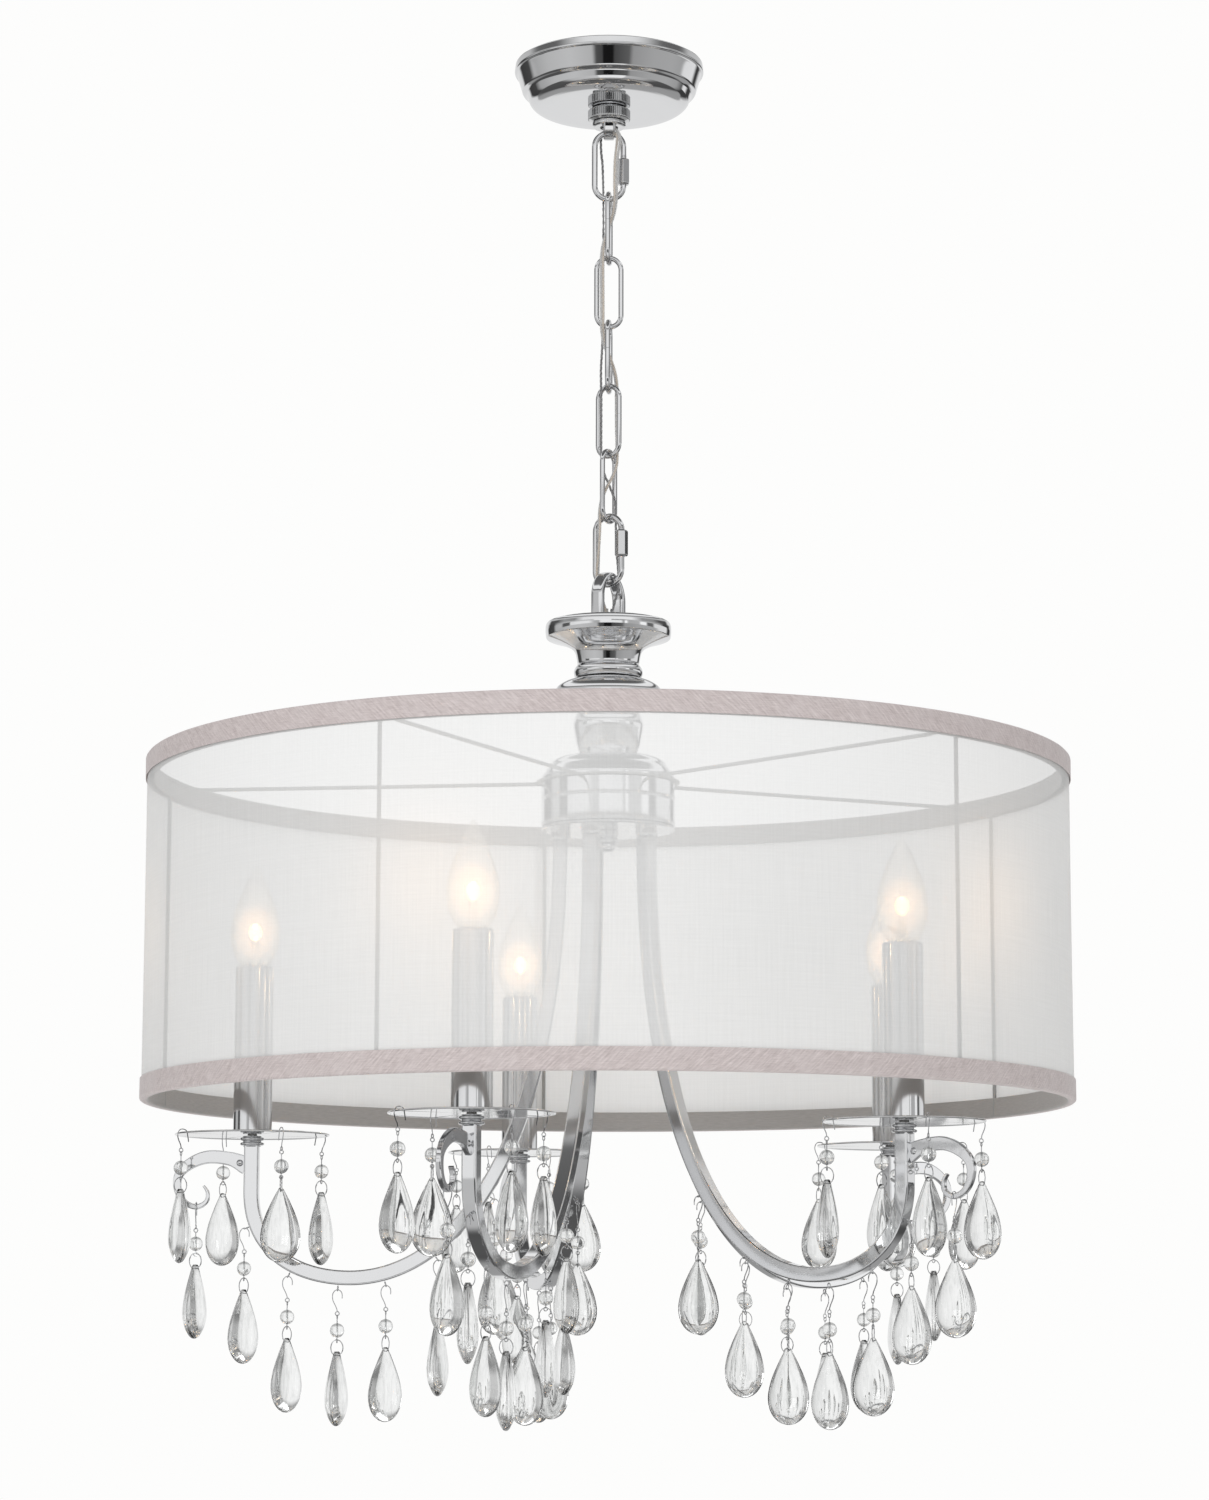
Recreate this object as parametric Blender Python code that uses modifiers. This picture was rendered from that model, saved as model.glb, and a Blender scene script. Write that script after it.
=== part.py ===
# Drum chandelier: a sheer fabric drum on a chromed five-arm body, hung on a chain.
# Metres, +Z up. The origin is on the ceiling plane, where the canopy's axis meets it, and the whole
# object hangs below it. Turns about Z are counted anticlockwise from above, and -Y is the front.
import math

import bmesh
import bpy
from mathutils import Matrix, Vector

# Fits
GAP = 0.0003
MERGE = 0.00002

# Ceiling mount
CANOPY_RADIUS = 0.0645
CANOPY_HEIGHT = 0.0305
CANOPY_WALL = 0.0012
CROSSBAR_END = 0.0055
CROSSBAR_WIDTH = 0.019
CROSSBAR_THICKNESS = 0.0024
SCREW_SPACING = 0.089
SCREW_RADIUS = 0.0019
SCREW_HEAD_RADIUS = 0.0038
SCREW_HEAD_HEIGHT = 0.0022
STEM_RADIUS = 0.0048
STEM_BORE = 0.0036
COLLAR_RADIUS = 0.0144
COLLAR_HEIGHT = 0.0092
LOOP_BASE_RADIUS = 0.0115
LOOP_BASE_HEIGHT = 0.0037
LOOP_MOUTH_RADIUS = 0.0062
CEILING_LOOP_WIDTH = 0.0215
CEILING_LOOP_DROP = 0.0105
CEILING_STRAP_THICKNESS = 0.0040
CEILING_STRAP_WIDTH = 0.0076
CEILING_STRAP_CHAMFER = 0.0013

# Chain: two quick links with five plain links between them
LINK_COUNT = 5
LINK_LENGTH = 0.0522
LINK_WIDTH = 0.020
LINK_WIRE = 0.0035
QUICK_LENGTH = 0.0513
QUICK_WIDTH = 0.0235
QUICK_WIRE = 0.0040
SLEEVE_RADIUS = 0.0044
SLEEVE_LENGTH = 0.018
SLEEVE_OFFSET = 0.004
CHAIN_TURNS = (2, 84, 5, 84, 148, 60, 152)
BODY_LOOP_TURN = 62

# Column, from the loop on top down to the hub
BODY_LOOP_WIDTH = 0.0355
BODY_LOOP_HEIGHT = 0.0338
BODY_STRAP_THICKNESS = 0.0055
BODY_STRAP_WIDTH = 0.009
BODY_STRAP_CHAMFER = 0.0019
PIPE_RADIUS = 0.005
PIPE_BORE = 0.0037
CAP_RADIUS = 0.042
CAP_HEIGHT = 0.0379
BELL_RADIUS = 0.0365
BELL_HEIGHT = 0.0144
URN_RADIUS = 0.0235
URN_HEIGHT = 0.0372
HUB_RADIUS = 0.0443
HUB_CAP_HEIGHT = 0.0167
HUB_BODY_HEIGHT = 0.029
HUB_WALL = 0.0012
HUB_BASE_THICKNESS = 0.0022
BOSS_RADIUS = 0.00665
BOSS_HEIGHT = 0.0064
BOSS_BORE = 0.0022
BOSS_CIRCLE = 0.0315
FINIAL_RADIUS = 0.0069
FINIAL_HEIGHT = 0.0141
FINIAL_BORE_DEPTH = 0.008

# Arms
ARM_COUNT = 5
ARM_FIRST_TURN = -110.4
ARM_SIZE = 0.0095
ARM_WALL = 0.001
ARM_DROP = 0.2867
ARM_LOW_RADIUS = 0.168
ARM_RISE = 0.0862
ARM_BEND_RISE = 0.056
CANDLE_RADIUS = 0.2335
SCROLL_REACH = 0.0476
SCROLL_DEPTH = 0.039
SCROLL_TOP = 0.003
SCROLL_WIDTH = 0.0085
SCROLL_THICKNESS = 0.0035

# Candles
CUP_NUT_RADIUS = 0.0079
CUP_NUT_HEIGHT = 0.006
PAN_RADIUS = 0.0507
PAN_THICKNESS = 0.0012
PENDANTS_ON_PAN = 4
PAN_TURNS = (51, 51, 56, 50, 30)
CANDLE_SLEEVE_RADIUS = 0.0127
CANDLE_SLEEVE_WALL = 0.0008
CANDLE_SLEEVE_HEIGHT = 0.1097
HOLDER_RADIUS = 0.0085
HOLDER_RECESS = 0.0013
HOLDER_STEM_RADIUS = 0.003
HOLDER_STEM_DEPTH = 0.006
BULB_RADIUS = 0.0165
BULB_HEIGHT = 0.0676
BULB_BASE_RADIUS = 0.0056
BULB_BASE_LENGTH = 0.021

# Shade
SHADE_RADIUS = 0.3048
SHADE_HEIGHT = 0.2243
SHADE_RISE = 0.0106
FABRIC_THICKNESS = 0.0005
TRIM_HEIGHT = 0.014
TRIM_THICKNESS = 0.0008
FRAME_WIRE = 0.003
STRUT_WIRE = 0.0026
STRUT_ASIDE = 0.0004
FRAME_TURN = -117
SPIDER_THICKNESS = 0.001
SPIDER_LIP = 0.0032
SPOKE_KINK_INSET = 0.0198
SPOKE_COUNT = 5

# Pendants
DROP_LENGTH = 0.0485
DROP_WIDTH = 0.026
DROP_THICKNESS = 0.013
BEAD_RADIUS = 0.0047
HANGER_RADIUS = 0.00045
HOOK_RADIUS = 0.0007
EYELET_DEPTH = 0.0036
EYELET_TO_BEAD = 0.0258
PAN_TO_BEAD = 0.0228
BEAD_TO_DROP = 0.0135
HOOK_TAIL = 0.0042

# Supply cords
FLEX_WIDTH = 0.0042
FLEX_THICKNESS = 0.0024
GROUND_RADIUS = 0.0009

# Shares of the sizes above, chosen by hand: (share of the radius, share of the height from the top)
CANOPY_OUTLINE_SHARES = (
    (1.0, 0.0), (1.0, 0.213), (0.969, 0.22), (0.95, 0.42), (0.907, 0.64), (0.884, 0.69), (0.845, 0.86),
    (0.775, 1.0)
)
CAP_OUTLINE_SHARES = (
    (0.9, 0.0), (0.976, 0.03), (1.0, 0.11), (1.0, 0.235), (0.985, 0.29), (0.857, 0.335), (0.745, 0.365),
    (0.6, 0.44), (0.552, 0.493), (0.519, 0.559), (0.49, 0.755), (0.535, 0.85), (0.55, 0.916), (0.531, 1.0)
)
BELL_OUTLINE_SHARES = ((0.603, 0.0), (0.8, 0.17), (0.932, 0.375), (0.985, 0.6), (1.0, 0.86), (0.97, 1.0))
URN_OUTLINE_SHARES = (
    (0.681, 0.0), (0.79, 0.08), (0.872, 0.19), (0.97, 0.35), (1.0, 0.446), (0.906, 0.8), (0.81, 1.0)
)
HUB_CAP_OUTLINE_SHARES = ((0.497, 0.0), (0.763, 0.1), (0.87, 0.3), (0.92, 0.52), (1.0, 0.85), (1.0, 1.0))
FINIAL_OUTLINE_SHARES = ((1.0, 0.0), (1.0, 0.5), (0.8, 0.62), (0.62, 0.85), (0.35, 1.0))
CUP_NUT_OUTLINE_SHARES = ((0.9, 0.0), (1.0, 0.22), (0.8, 0.5), (1.0, 0.78), (0.92, 1.0))
BULB_OUTLINE_SHARES = ((0.16, 0.055), (0.5, 0.22), (0.85, 0.44), (1.0, 0.64), (0.88, 0.85), (0.55, 1.0))
BEAD_OUTLINE_SHARES = ((0.9, 0.45), (0.9, -0.45))
DROP_OUTLINE_SHARES = ((0.62, 0.27), (1.0, 0.63), (0.66, 0.92), (0.0, 1.0))
# Scroll: (share of the reach, share of the depth, share of the width)
SCROLL_SHARES = (
    (0.0, 0.254, 1.41), (0.204, 0.151, 1.06), (0.511, 0.118, 1.0), (0.761, 0.228, 0.88),
    (0.918, 0.42, 0.7), (0.929, 0.664, 0.59), (0.834, 0.869, 0.47), (0.67, 0.95, 0.42),
    (0.536, 0.869, 0.35), (0.515, 0.715, 0.28), (0.571, 0.6, 0.19)
)
SCROLL_BEND_STEP = 7
CROSSING_RISE_SHARE = 0.2
ARM_FIRST_PULL_SHARE = 0.7
ARM_SECOND_PULL_SHARE = 0.487
ARM_THIRD_PULL_SHARE = 0.565
ARM_FOURTH_PULL_SHARE = 0.34
EYELET_SHARES = (0.891, 0.812, 0.747, 0.686, 0.612, 0.505)

# Turns of the drops about their own vertical axes, in degrees, one row for each arm
ARM_DROP_TURNS = (
    (20, 65, 30, 80, 15, 50),
    (12, 25, 8, 30, 18, 40),
    (60, 15, 75, 35, 55, 20),
    (40, 70, 25, 60, 10, 75),
    (53, 51, 77, 40, 81, 45),
)
PAN_DROP_TURNS = ((15, 35, 70, 10), (10, 25, 60, 35), (45, 20, 75, 30), (65, 30, 15, 50), (85, 60, 40, 35))
SCROLL_DROP_TURNS = (70, 20, 50, 35, 75)

# Facets
CANOPY_SIDES = 20
COLUMN_SIDES = 16
SMALL_SIDES = 10
CANDLE_SIDES = 10
SHADE_SIDES = 35
NUT_SIDES = 6
HOLE_SIDES = 8
DROP_SIDES = 6
LINK_ARC_STEPS = 6
LOOP_ARC_STEPS = 8
FIRST_BEND_STEPS = 7
SECOND_BEND_STEPS = 5
LINK_RESOLUTION = 1
THIN_RESOLUTION = 0

for old in list(bpy.data.objects):
    bpy.data.objects.remove(old, do_unlink=True)

parts = bpy.data.collections.new("drum_chandelier")
cutters = bpy.data.collections.new("cutters_and_guides")
bpy.context.scene.collection.children.link(parts)
bpy.context.scene.collection.children.link(cutters)


def finish(name, colour, roughness, metallic, transmission=0.0):
    """A Principled material of one plain colour."""
    material = bpy.data.materials.new(name)
    material.use_nodes = True
    shader = material.node_tree.nodes["Principled BSDF"]
    shader.inputs["Base Color"].default_value = (*colour, 1.0)
    shader.inputs["Roughness"].default_value = roughness
    shader.inputs["Metallic"].default_value = metallic
    shader.inputs["Transmission Weight"].default_value = transmission
    return material


CHROME = (0.83, 0.84, 0.85)
STEEL = (0.62, 0.63, 0.64)
CLEAR = (0.94, 0.95, 0.95)
PORCELAIN = (0.88, 0.87, 0.84)
SHEER = (0.93, 0.93, 0.93)
SILK = (0.81, 0.75, 0.74)
LACQUER = (0.78, 0.78, 0.78)


def group(name, place, parent=None):
    """An empty at a joint's place, which carries the pieces of one moving body."""
    empty = bpy.data.objects.new(name, None)
    parts.objects.link(empty)
    empty.parent = parent
    empty.location = Vector(place) - (parent_place(parent) if parent else Vector())
    return empty


def parent_place(empty):
    """Where an unturned empty lies in the world."""
    place = Vector()
    while empty:
        place += empty.location
        empty = empty.parent
    return place


def hang(obj, parent, place=(0, 0, 0), turn=0.0):
    """Puts an object at a world place under its body's empty, turned about Z in degrees."""
    obj.parent = parent
    obj.location = Vector(place) - parent_place(parent)
    obj.rotation_euler = (0, 0, math.radians(turn))
    return obj


def made(name, data, material, collection=parts):
    """A new object of a mesh or a curve, with its own material."""
    obj = bpy.data.objects.new(name, data)
    collection.objects.link(obj)
    if material:
        data.materials.clear()
        data.materials.append(material)
    return obj


def evaluated_mesh(obj):
    """The shape of an object with its modifiers, welded, in world space; the object is removed."""
    bpy.context.view_layer.update()
    graph = bpy.context.evaluated_depsgraph_get()
    mesh = bpy.data.meshes.new_from_object(obj.evaluated_get(graph))
    mesh.transform(obj.matrix_world)
    work = bmesh.new()
    work.from_mesh(mesh)
    bmesh.ops.remove_doubles(work, verts=work.verts, dist=MERGE)
    work.to_mesh(mesh)
    work.free()
    bpy.data.objects.remove(obj, do_unlink=True)
    return mesh


def turned(name, outline, sides, material=None, closed=False, collection=parts):
    """A solid of revolution about Z; its outline runs down the outer side as (radius, height)."""
    mesh = bpy.data.meshes.new(name)
    edges = [(index, index + 1) for index in range(len(outline) - 1)]
    if closed:
        edges.append((len(outline) - 1, 0))
    mesh.from_pydata([(radius, 0, height) for radius, height in outline], edges, [])
    obj = made(name, mesh, material, collection)
    screw = obj.modifiers.new("turn", "SCREW")
    screw.steps = sides
    screw.render_steps = sides
    screw.use_merge_vertices = True
    screw.merge_threshold = MERGE
    screw.use_smooth_shade = True
    return obj


def scaled_outline(shares, radius, height):
    """An outline in metres, from shares of a radius and of a height measured down from zero."""
    return [(across * radius, -down * height) for across, down in shares]


def bored(outline, bore):
    """A closed outline: the outer side given, and a straight bore up its middle."""
    return [(bore, outline[0][1]), *outline, (bore, outline[-1][1])]


def wire(name, points, radius, material=None, closed=False, resolution=THIN_RESOLUTION, collection=parts):
    """A round wire or tube along straight steps between points."""
    data = bpy.data.curves.new(name, "CURVE")
    data.dimensions = "3D"
    spline = data.splines.new("POLY")
    spline.points.add(len(points) - 1)
    for knot, place in zip(spline.points, points):
        knot.co = (*place, 1.0)
    spline.use_cyclic_u = closed
    data.bevel_depth = radius
    data.bevel_resolution = resolution
    data.use_fill_caps = not closed
    return made(name, data, material, collection)


def flat(name, outlines, thickness, material=None, collection=parts):
    """A flat piece in the XY plane, from its outer outline and the outlines of its holes."""
    data = bpy.data.curves.new(name, "CURVE")
    data.dimensions = "2D"
    data.fill_mode = "BOTH"
    data.extrude = thickness / 2
    for outline in outlines:
        spline = data.splines.new("POLY")
        spline.points.add(len(outline) - 1)
        for knot, (across, along) in zip(spline.points, outline):
            knot.co = (across, along, 0.0, 1.0)
        spline.use_cyclic_u = True
    return made(name, data, material, collection)


def circle(radius, sides, centre=(0.0, 0.0), start=0.0):
    """Points round a circle in the plane."""
    turns = [start + math.tau * index / sides for index in range(sides)]
    return [(centre[0] + radius * math.cos(turn), centre[1] + radius * math.sin(turn)) for turn in turns]


def arc(radius, first, last, steps, centre=(0.0, 0.0)):
    """Points along an arc in the plane, between two angles in degrees."""
    turns = [math.radians(first + (last - first) * index / steps) for index in range(steps + 1)]
    return [(centre[0] + radius * math.cos(turn), centre[1] + radius * math.sin(turn)) for turn in turns]


def gathered(name, meshes, material, collection=parts):
    """One object of several separate solids, each a (mesh, matrix) pair."""
    work = bmesh.new()
    for mesh, matrix in meshes:
        copy = mesh.copy()
        copy.transform(matrix)
        work.from_mesh(copy)
        bpy.data.meshes.remove(copy)
    result = bpy.data.meshes.new(name)
    work.to_mesh(result)
    work.free()
    return made(name, result, material, collection)


def smooth(obj, angle=40.0):
    """Round faces shaded smooth, with the edges past an angle kept sharp."""
    obj.data.shade_smooth()
    obj.data.set_sharp_from_angle(angle=math.radians(angle))
    return obj


def boolean(obj, other, operation):
    """Joins another object to this one, or cuts it out; the other stays hidden as a guide."""
    modifier = obj.modifiers.new(other.name, "BOOLEAN")
    modifier.operation = operation
    modifier.solver = "EXACT"
    modifier.object = other
    other.hide_render = True
    other.display_type = "WIRE"
    return obj


def joined(name, start_mesh, pieces, material):
    """One piece of several meshes that run into each other, given as (mesh, matrix) pairs."""
    obj = made(name, start_mesh, material)
    for index, (mesh, matrix) in enumerate(pieces):
        other = made(f"{name}_join_{index + 1}", mesh.copy(), None, cutters)
        other.data.transform(matrix)
        other.parent = obj
        boolean(obj, other, "UNION")
    return obj


def spin(turn):
    """A turn about Z, in degrees."""
    return Matrix.Rotation(math.radians(turn), 4, "Z")


def shift(x, y, z):
    """A move."""
    return Matrix.Translation((x, y, z))


ceiling = group("ceiling", (0, 0, 0))

# Crossbar against the ceiling inside the canopy, and its two screws
crossbar_under = -CROSSBAR_THICKNESS
half_straight = SCREW_SPACING / 2 + CROSSBAR_END - CROSSBAR_WIDTH / 2
crossbar_outlines = [
    [
        *arc(CROSSBAR_WIDTH / 2, -90, 90, SMALL_SIDES // 2, (half_straight, 0)),
        *arc(CROSSBAR_WIDTH / 2, 90, 270, SMALL_SIDES // 2, (-half_straight, 0)),
    ],
    circle((STEM_RADIUS + GAP) / math.cos(math.pi / SMALL_SIDES), SMALL_SIDES),
]
screw_outline = [
    (0, -GAP),
    (SCREW_RADIUS, -GAP),
    (SCREW_RADIUS, crossbar_under - GAP),
    (SCREW_HEAD_RADIUS, crossbar_under - GAP),
    (SCREW_HEAD_RADIUS, crossbar_under - SCREW_HEAD_HEIGHT),
    (0, crossbar_under - SCREW_HEAD_HEIGHT),
]
for number, side in ((1, 1), (2, -1)):
    across = side * SCREW_SPACING / 2
    crossbar_outlines.append(circle(SCREW_RADIUS + GAP, HOLE_SIDES, (across, 0)))
    zinc = finish(f"crossbar_screw_{number}_zinc", STEEL, 0.35, 1.0)
    hang(turned(f"crossbar_screw_{number}", screw_outline, HOLE_SIDES, zinc), ceiling, (across, 0, 0))
crossbar = flat("crossbar", crossbar_outlines, CROSSBAR_THICKNESS, finish("zinc_bar", STEEL, 0.4, 1.0))
hang(crossbar, ceiling, (0, 0, crossbar_under / 2))

# Canopy: an open dish spun from sheet, with its wall inside the outline
stem_clear = (STEM_RADIUS + GAP) / math.cos(math.pi / CANOPY_SIDES)
canopy_outline = scaled_outline(CANOPY_OUTLINE_SHARES, CANOPY_RADIUS, CANOPY_HEIGHT)
canopy_outline.append((stem_clear, -CANOPY_HEIGHT))
canopy = turned("canopy", canopy_outline, CANOPY_SIDES, finish("canopy_chrome", CHROME, 0.08, 1.0))
wall = canopy.modifiers.new("wall", "SOLIDIFY")
wall.thickness = CANOPY_WALL
wall.offset = -1
hang(canopy, ceiling)

# Collar ring, screwed up against the canopy; it turns on the stem
collar_top = -CANOPY_HEIGHT - GAP
collar_outline = bored([(COLLAR_RADIUS, 0), (COLLAR_RADIUS, -COLLAR_HEIGHT)], stem_clear)
collar_body = group("collar", (0, 0, collar_top), ceiling)
collar = turned(
    "collar_ring", collar_outline, COLUMN_SIDES, finish("collar_chrome", CHROME, 0.2, 1.0), closed=True
)
hang(collar, collar_body, (0, 0, collar_top))


def strap_loop(name, width, height, thickness, depth, chamfer, sink):
    """A loop of chamfered strap: two legs and a half round end, standing up from zero."""
    outer = width / 2
    inner = outer - thickness
    centre = (0, height - outer)
    outline = [
        (outer, -sink),
        *arc(outer, 0, 180, LOOP_ARC_STEPS, centre),
        (-outer, -sink),
        (-inner, -sink),
        *arc(inner, 180, 0, LOOP_ARC_STEPS, centre),
        (inner, -sink),
    ]
    loop = flat(name, [outline], depth - 2 * chamfer, collection=cutters)
    loop.data.bevel_depth = chamfer
    loop.data.bevel_resolution = 0
    loop.data.offset = -chamfer
    loop.matrix_world = Matrix.Rotation(math.radians(90), 4, "X")
    return evaluated_mesh(loop)


# Ceiling loop: a hollow stem up to the crossbar, a round base, and a strap loop below it
base_top = collar_top - COLLAR_HEIGHT - GAP
base_under = base_top - LOOP_BASE_HEIGHT
stem_outline = [
    (STEM_BORE, -GAP),
    (STEM_RADIUS, -GAP),
    (STEM_RADIUS, base_top),
    (LOOP_BASE_RADIUS, base_top),
    (LOOP_BASE_RADIUS, base_under),
    (LOOP_MOUTH_RADIUS, base_under),
    (STEM_BORE, base_top),
]
ceiling_loop = turned("ceiling_loop", stem_outline, COLUMN_SIDES, closed=True, collection=cutters)
ceiling_loop = made("ceiling_loop", evaluated_mesh(ceiling_loop), finish("loop_chrome", CHROME, 0.1, 1.0))
strap_sink = LOOP_BASE_HEIGHT / 2
ceiling_strap = strap_loop(
    "ceiling_strap", CEILING_LOOP_WIDTH, CEILING_LOOP_DROP, CEILING_STRAP_THICKNESS, CEILING_STRAP_WIDTH,
    CEILING_STRAP_CHAMFER, strap_sink
)
ceiling_strap.transform(spin(90) @ Matrix.Rotation(math.radians(180), 4, "Y"))
ceiling_strap = made("ceiling_strap", ceiling_strap, None, cutters)
hang(ceiling_strap, ceiling, (0, 0, base_under))
boolean(ceiling_loop, ceiling_strap, "UNION")
hang(ceiling_loop, ceiling)


def oblong(length, width, diameter):
    """Centreline of a link in the XZ plane, hanging from the inside of its top bend at zero."""
    reach = (width - diameter) / 2
    top = diameter / 2
    low = length - diameter - 2 * reach
    upper = arc(reach, 0, 180, LINK_ARC_STEPS, (0, top - reach))
    lower = arc(reach, 180, 360, LINK_ARC_STEPS, (0, top - reach - low))
    return [(across, 0, height) for across, height in upper + lower]


def bend_rise(strap_width, chamfer):
    """How far a chamfered strap stands clear of the middle of a link's bend."""
    return (strap_width / 2 - chamfer) * math.tan(math.pi / LINK_ARC_STEPS / 2)


# Chain: each link hangs inside the one above, and swings about that one's lowest bend
chain = [("quick_link_upper", QUICK_LENGTH, QUICK_WIDTH, QUICK_WIRE)]
for index in range(LINK_COUNT):
    chain.append((f"chain_link_{index + 1}", LINK_LENGTH, LINK_WIDTH, LINK_WIRE))
chain.append(("quick_link_lower", QUICK_LENGTH, QUICK_WIDTH, QUICK_WIRE))
seat = base_under - CEILING_LOOP_DROP + CEILING_STRAP_THICKNESS
seat += bend_rise(CEILING_STRAP_WIDTH, CEILING_STRAP_CHAMFER)
above_wire = CEILING_STRAP_THICKNESS
above_turn = CHAIN_TURNS[0] + 90
carrier = ceiling
for (name, length, width, diameter), turn in zip(chain, CHAIN_TURNS):
    pivot = seat - above_wire / 2
    carrier = group(name + "_pivot", (0, 0, pivot), carrier)
    chrome = finish(name + "_chrome", CHROME, 0.12, 1.0)
    line = oblong(length, width, diameter)
    link = wire(name, line, diameter / 2, chrome, closed=True, resolution=LINK_RESOLUTION)
    crown = seat + GAP + abs(math.cos(math.radians(turn - above_turn))) * diameter * CROSSING_RISE_SHARE
    hang(link, carrier, (0, 0, crown), turn)
    if name.startswith("quick"):
        leg = (width - diameter) / 2
        side = SLEEVE_OFFSET if name.endswith("lower") else -SLEEVE_OFFSET
        middle = crown + diameter - length / 2 + side
        bore = (diameter / 2 + GAP) / math.cos(math.pi / NUT_SIDES)
        outline = bored([(SLEEVE_RADIUS, SLEEVE_LENGTH / 2), (SLEEVE_RADIUS, -SLEEVE_LENGTH / 2)], bore)
        chrome = finish(name + "_sleeve_chrome", CHROME, 0.15, 1.0)
        sleeve = turned(name + "_sleeve", outline, NUT_SIDES, chrome, closed=True)
        angle = math.radians(turn if turn < 90 else turn - 180)
        place = (leg * math.cos(angle), leg * math.sin(angle), middle)
        sleeve_body = group(name + "_sleeve_slide", place, carrier)
        hang(sleeve, sleeve_body, place, turn)
    seat = crown + diameter - length + diameter
    above_wire = diameter
    above_turn = turn

# Fixture: everything below swings on the lower quick link
seat += bend_rise(BODY_STRAP_WIDTH, BODY_STRAP_CHAMFER)
fixture = group("fixture", (0, 0, seat - above_wire / 2), carrier)
loop_top = seat + GAP + BODY_STRAP_THICKNESS
loop_feet = loop_top - BODY_LOOP_HEIGHT
body_loop = strap_loop(
    "body_loop", BODY_LOOP_WIDTH, BODY_LOOP_HEIGHT, BODY_STRAP_THICKNESS, BODY_STRAP_WIDTH,
    BODY_STRAP_CHAMFER, 0
)
body_loop = smooth(made("body_loop", body_loop, finish("body_loop_chrome", CHROME, 0.08, 1.0)))
hang(body_loop, fixture, (0, 0, loop_feet), BODY_LOOP_TURN)


def column_piece(name, shares, radius, height, top):
    """A turned piece of the column, threaded on the centre pipe."""
    pipe_clear = (PIPE_RADIUS + GAP) / math.cos(math.pi / COLUMN_SIDES)
    outline = bored(scaled_outline(shares, radius, height), pipe_clear)
    piece = turned(name, outline, COLUMN_SIDES, finish(name + "_chrome", CHROME, 0.07, 1.0), closed=True)
    return hang(piece, fixture, (0, 0, top))


cap_top = loop_feet - GAP
bell_top = cap_top - CAP_HEIGHT - GAP
urn_top = bell_top - BELL_HEIGHT - GAP
hub_cap_top = urn_top - URN_HEIGHT - GAP
column_piece("cap_disc", CAP_OUTLINE_SHARES, CAP_RADIUS, CAP_HEIGHT, cap_top)
column_piece("bell", BELL_OUTLINE_SHARES, BELL_RADIUS, BELL_HEIGHT, bell_top)
column_piece("urn", URN_OUTLINE_SHARES, URN_RADIUS, URN_HEIGHT, urn_top)

# Hub: a spun cap and a drum with the shade's washer between them, and a base plate with five bosses
pipe_clear = (PIPE_RADIUS + GAP) / math.cos(math.pi / COLUMN_SIDES)
hub_cap_outline = scaled_outline(HUB_CAP_OUTLINE_SHARES, HUB_RADIUS, HUB_CAP_HEIGHT)
hub_cap_outline.insert(0, (pipe_clear, 0))
hub_cap = turned("hub_cap", hub_cap_outline, COLUMN_SIDES, finish("hub_cap_chrome", CHROME, 0.07, 1.0))
wall = hub_cap.modifiers.new("wall", "SOLIDIFY")
wall.thickness = HUB_WALL
wall.offset = -1
hang(hub_cap, fixture, (0, 0, hub_cap_top))

spider_top = hub_cap_top - HUB_CAP_HEIGHT - GAP
hub_body_top = spider_top - SPIDER_THICKNESS - GAP
hub_body_outline = bored([(HUB_RADIUS, 0), (HUB_RADIUS, -HUB_BODY_HEIGHT)], HUB_RADIUS - HUB_WALL)
hub_body = turned(
    "hub_body", hub_body_outline, COLUMN_SIDES, finish("hub_body_chrome", CHROME, 0.07, 1.0), closed=True
)
hang(hub_body, fixture, (0, 0, hub_body_top))

hub_base_top = hub_body_top - HUB_BODY_HEIGHT - GAP
hub_base_under = hub_base_top - HUB_BASE_THICKNESS
boss_under = hub_base_under - BOSS_HEIGHT
arm_turns = [ARM_FIRST_TURN + 360 / ARM_COUNT * index for index in range(ARM_COUNT)]
boss_places = [spin(turn) @ Vector((BOSS_CIRCLE, 0, 0)) for turn in arm_turns]
hub_base_outline = circle(HUB_RADIUS, COLUMN_SIDES)
base_clear = (PIPE_RADIUS + GAP) / math.cos(math.pi / SMALL_SIDES)
plate = flat(
    "hub_base", [hub_base_outline, circle(base_clear, SMALL_SIDES)], HUB_BASE_THICKNESS, collection=cutters
)
plate.location = (0, 0, hub_base_top - HUB_BASE_THICKNESS / 2)
hub_base = made("hub_base", evaluated_mesh(plate), finish("hub_base_chrome", CHROME, 0.1, 1.0))
boss_sink = HUB_BASE_THICKNESS / 2
boss_outline = [(0, boss_sink), (BOSS_RADIUS, boss_sink), (BOSS_RADIUS, -BOSS_HEIGHT), (0, -BOSS_HEIGHT)]
boss_mesh = evaluated_mesh(turned("boss", boss_outline, HOLE_SIDES, collection=cutters))
boss_shifts = [shift(place.x, place.y, hub_base_under) for place in boss_places]
bosses = gathered("bosses", [(boss_mesh, place) for place in boss_shifts], None, cutters)
boss_bore_outline = [
    (0, HUB_BASE_THICKNESS * 2), (BOSS_BORE, HUB_BASE_THICKNESS * 2), (BOSS_BORE, -BOSS_HEIGHT * 2),
    (0, -BOSS_HEIGHT * 2)
]
boss_bore_mesh = evaluated_mesh(turned("boss_bore", boss_bore_outline, HOLE_SIDES, collection=cutters))
boss_bores = gathered("boss_bores", [(boss_bore_mesh, place) for place in boss_shifts], None, cutters)
boolean(hub_base, bosses, "UNION")
boolean(hub_base, boss_bores, "DIFFERENCE")
hang(hub_base, fixture)

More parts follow.
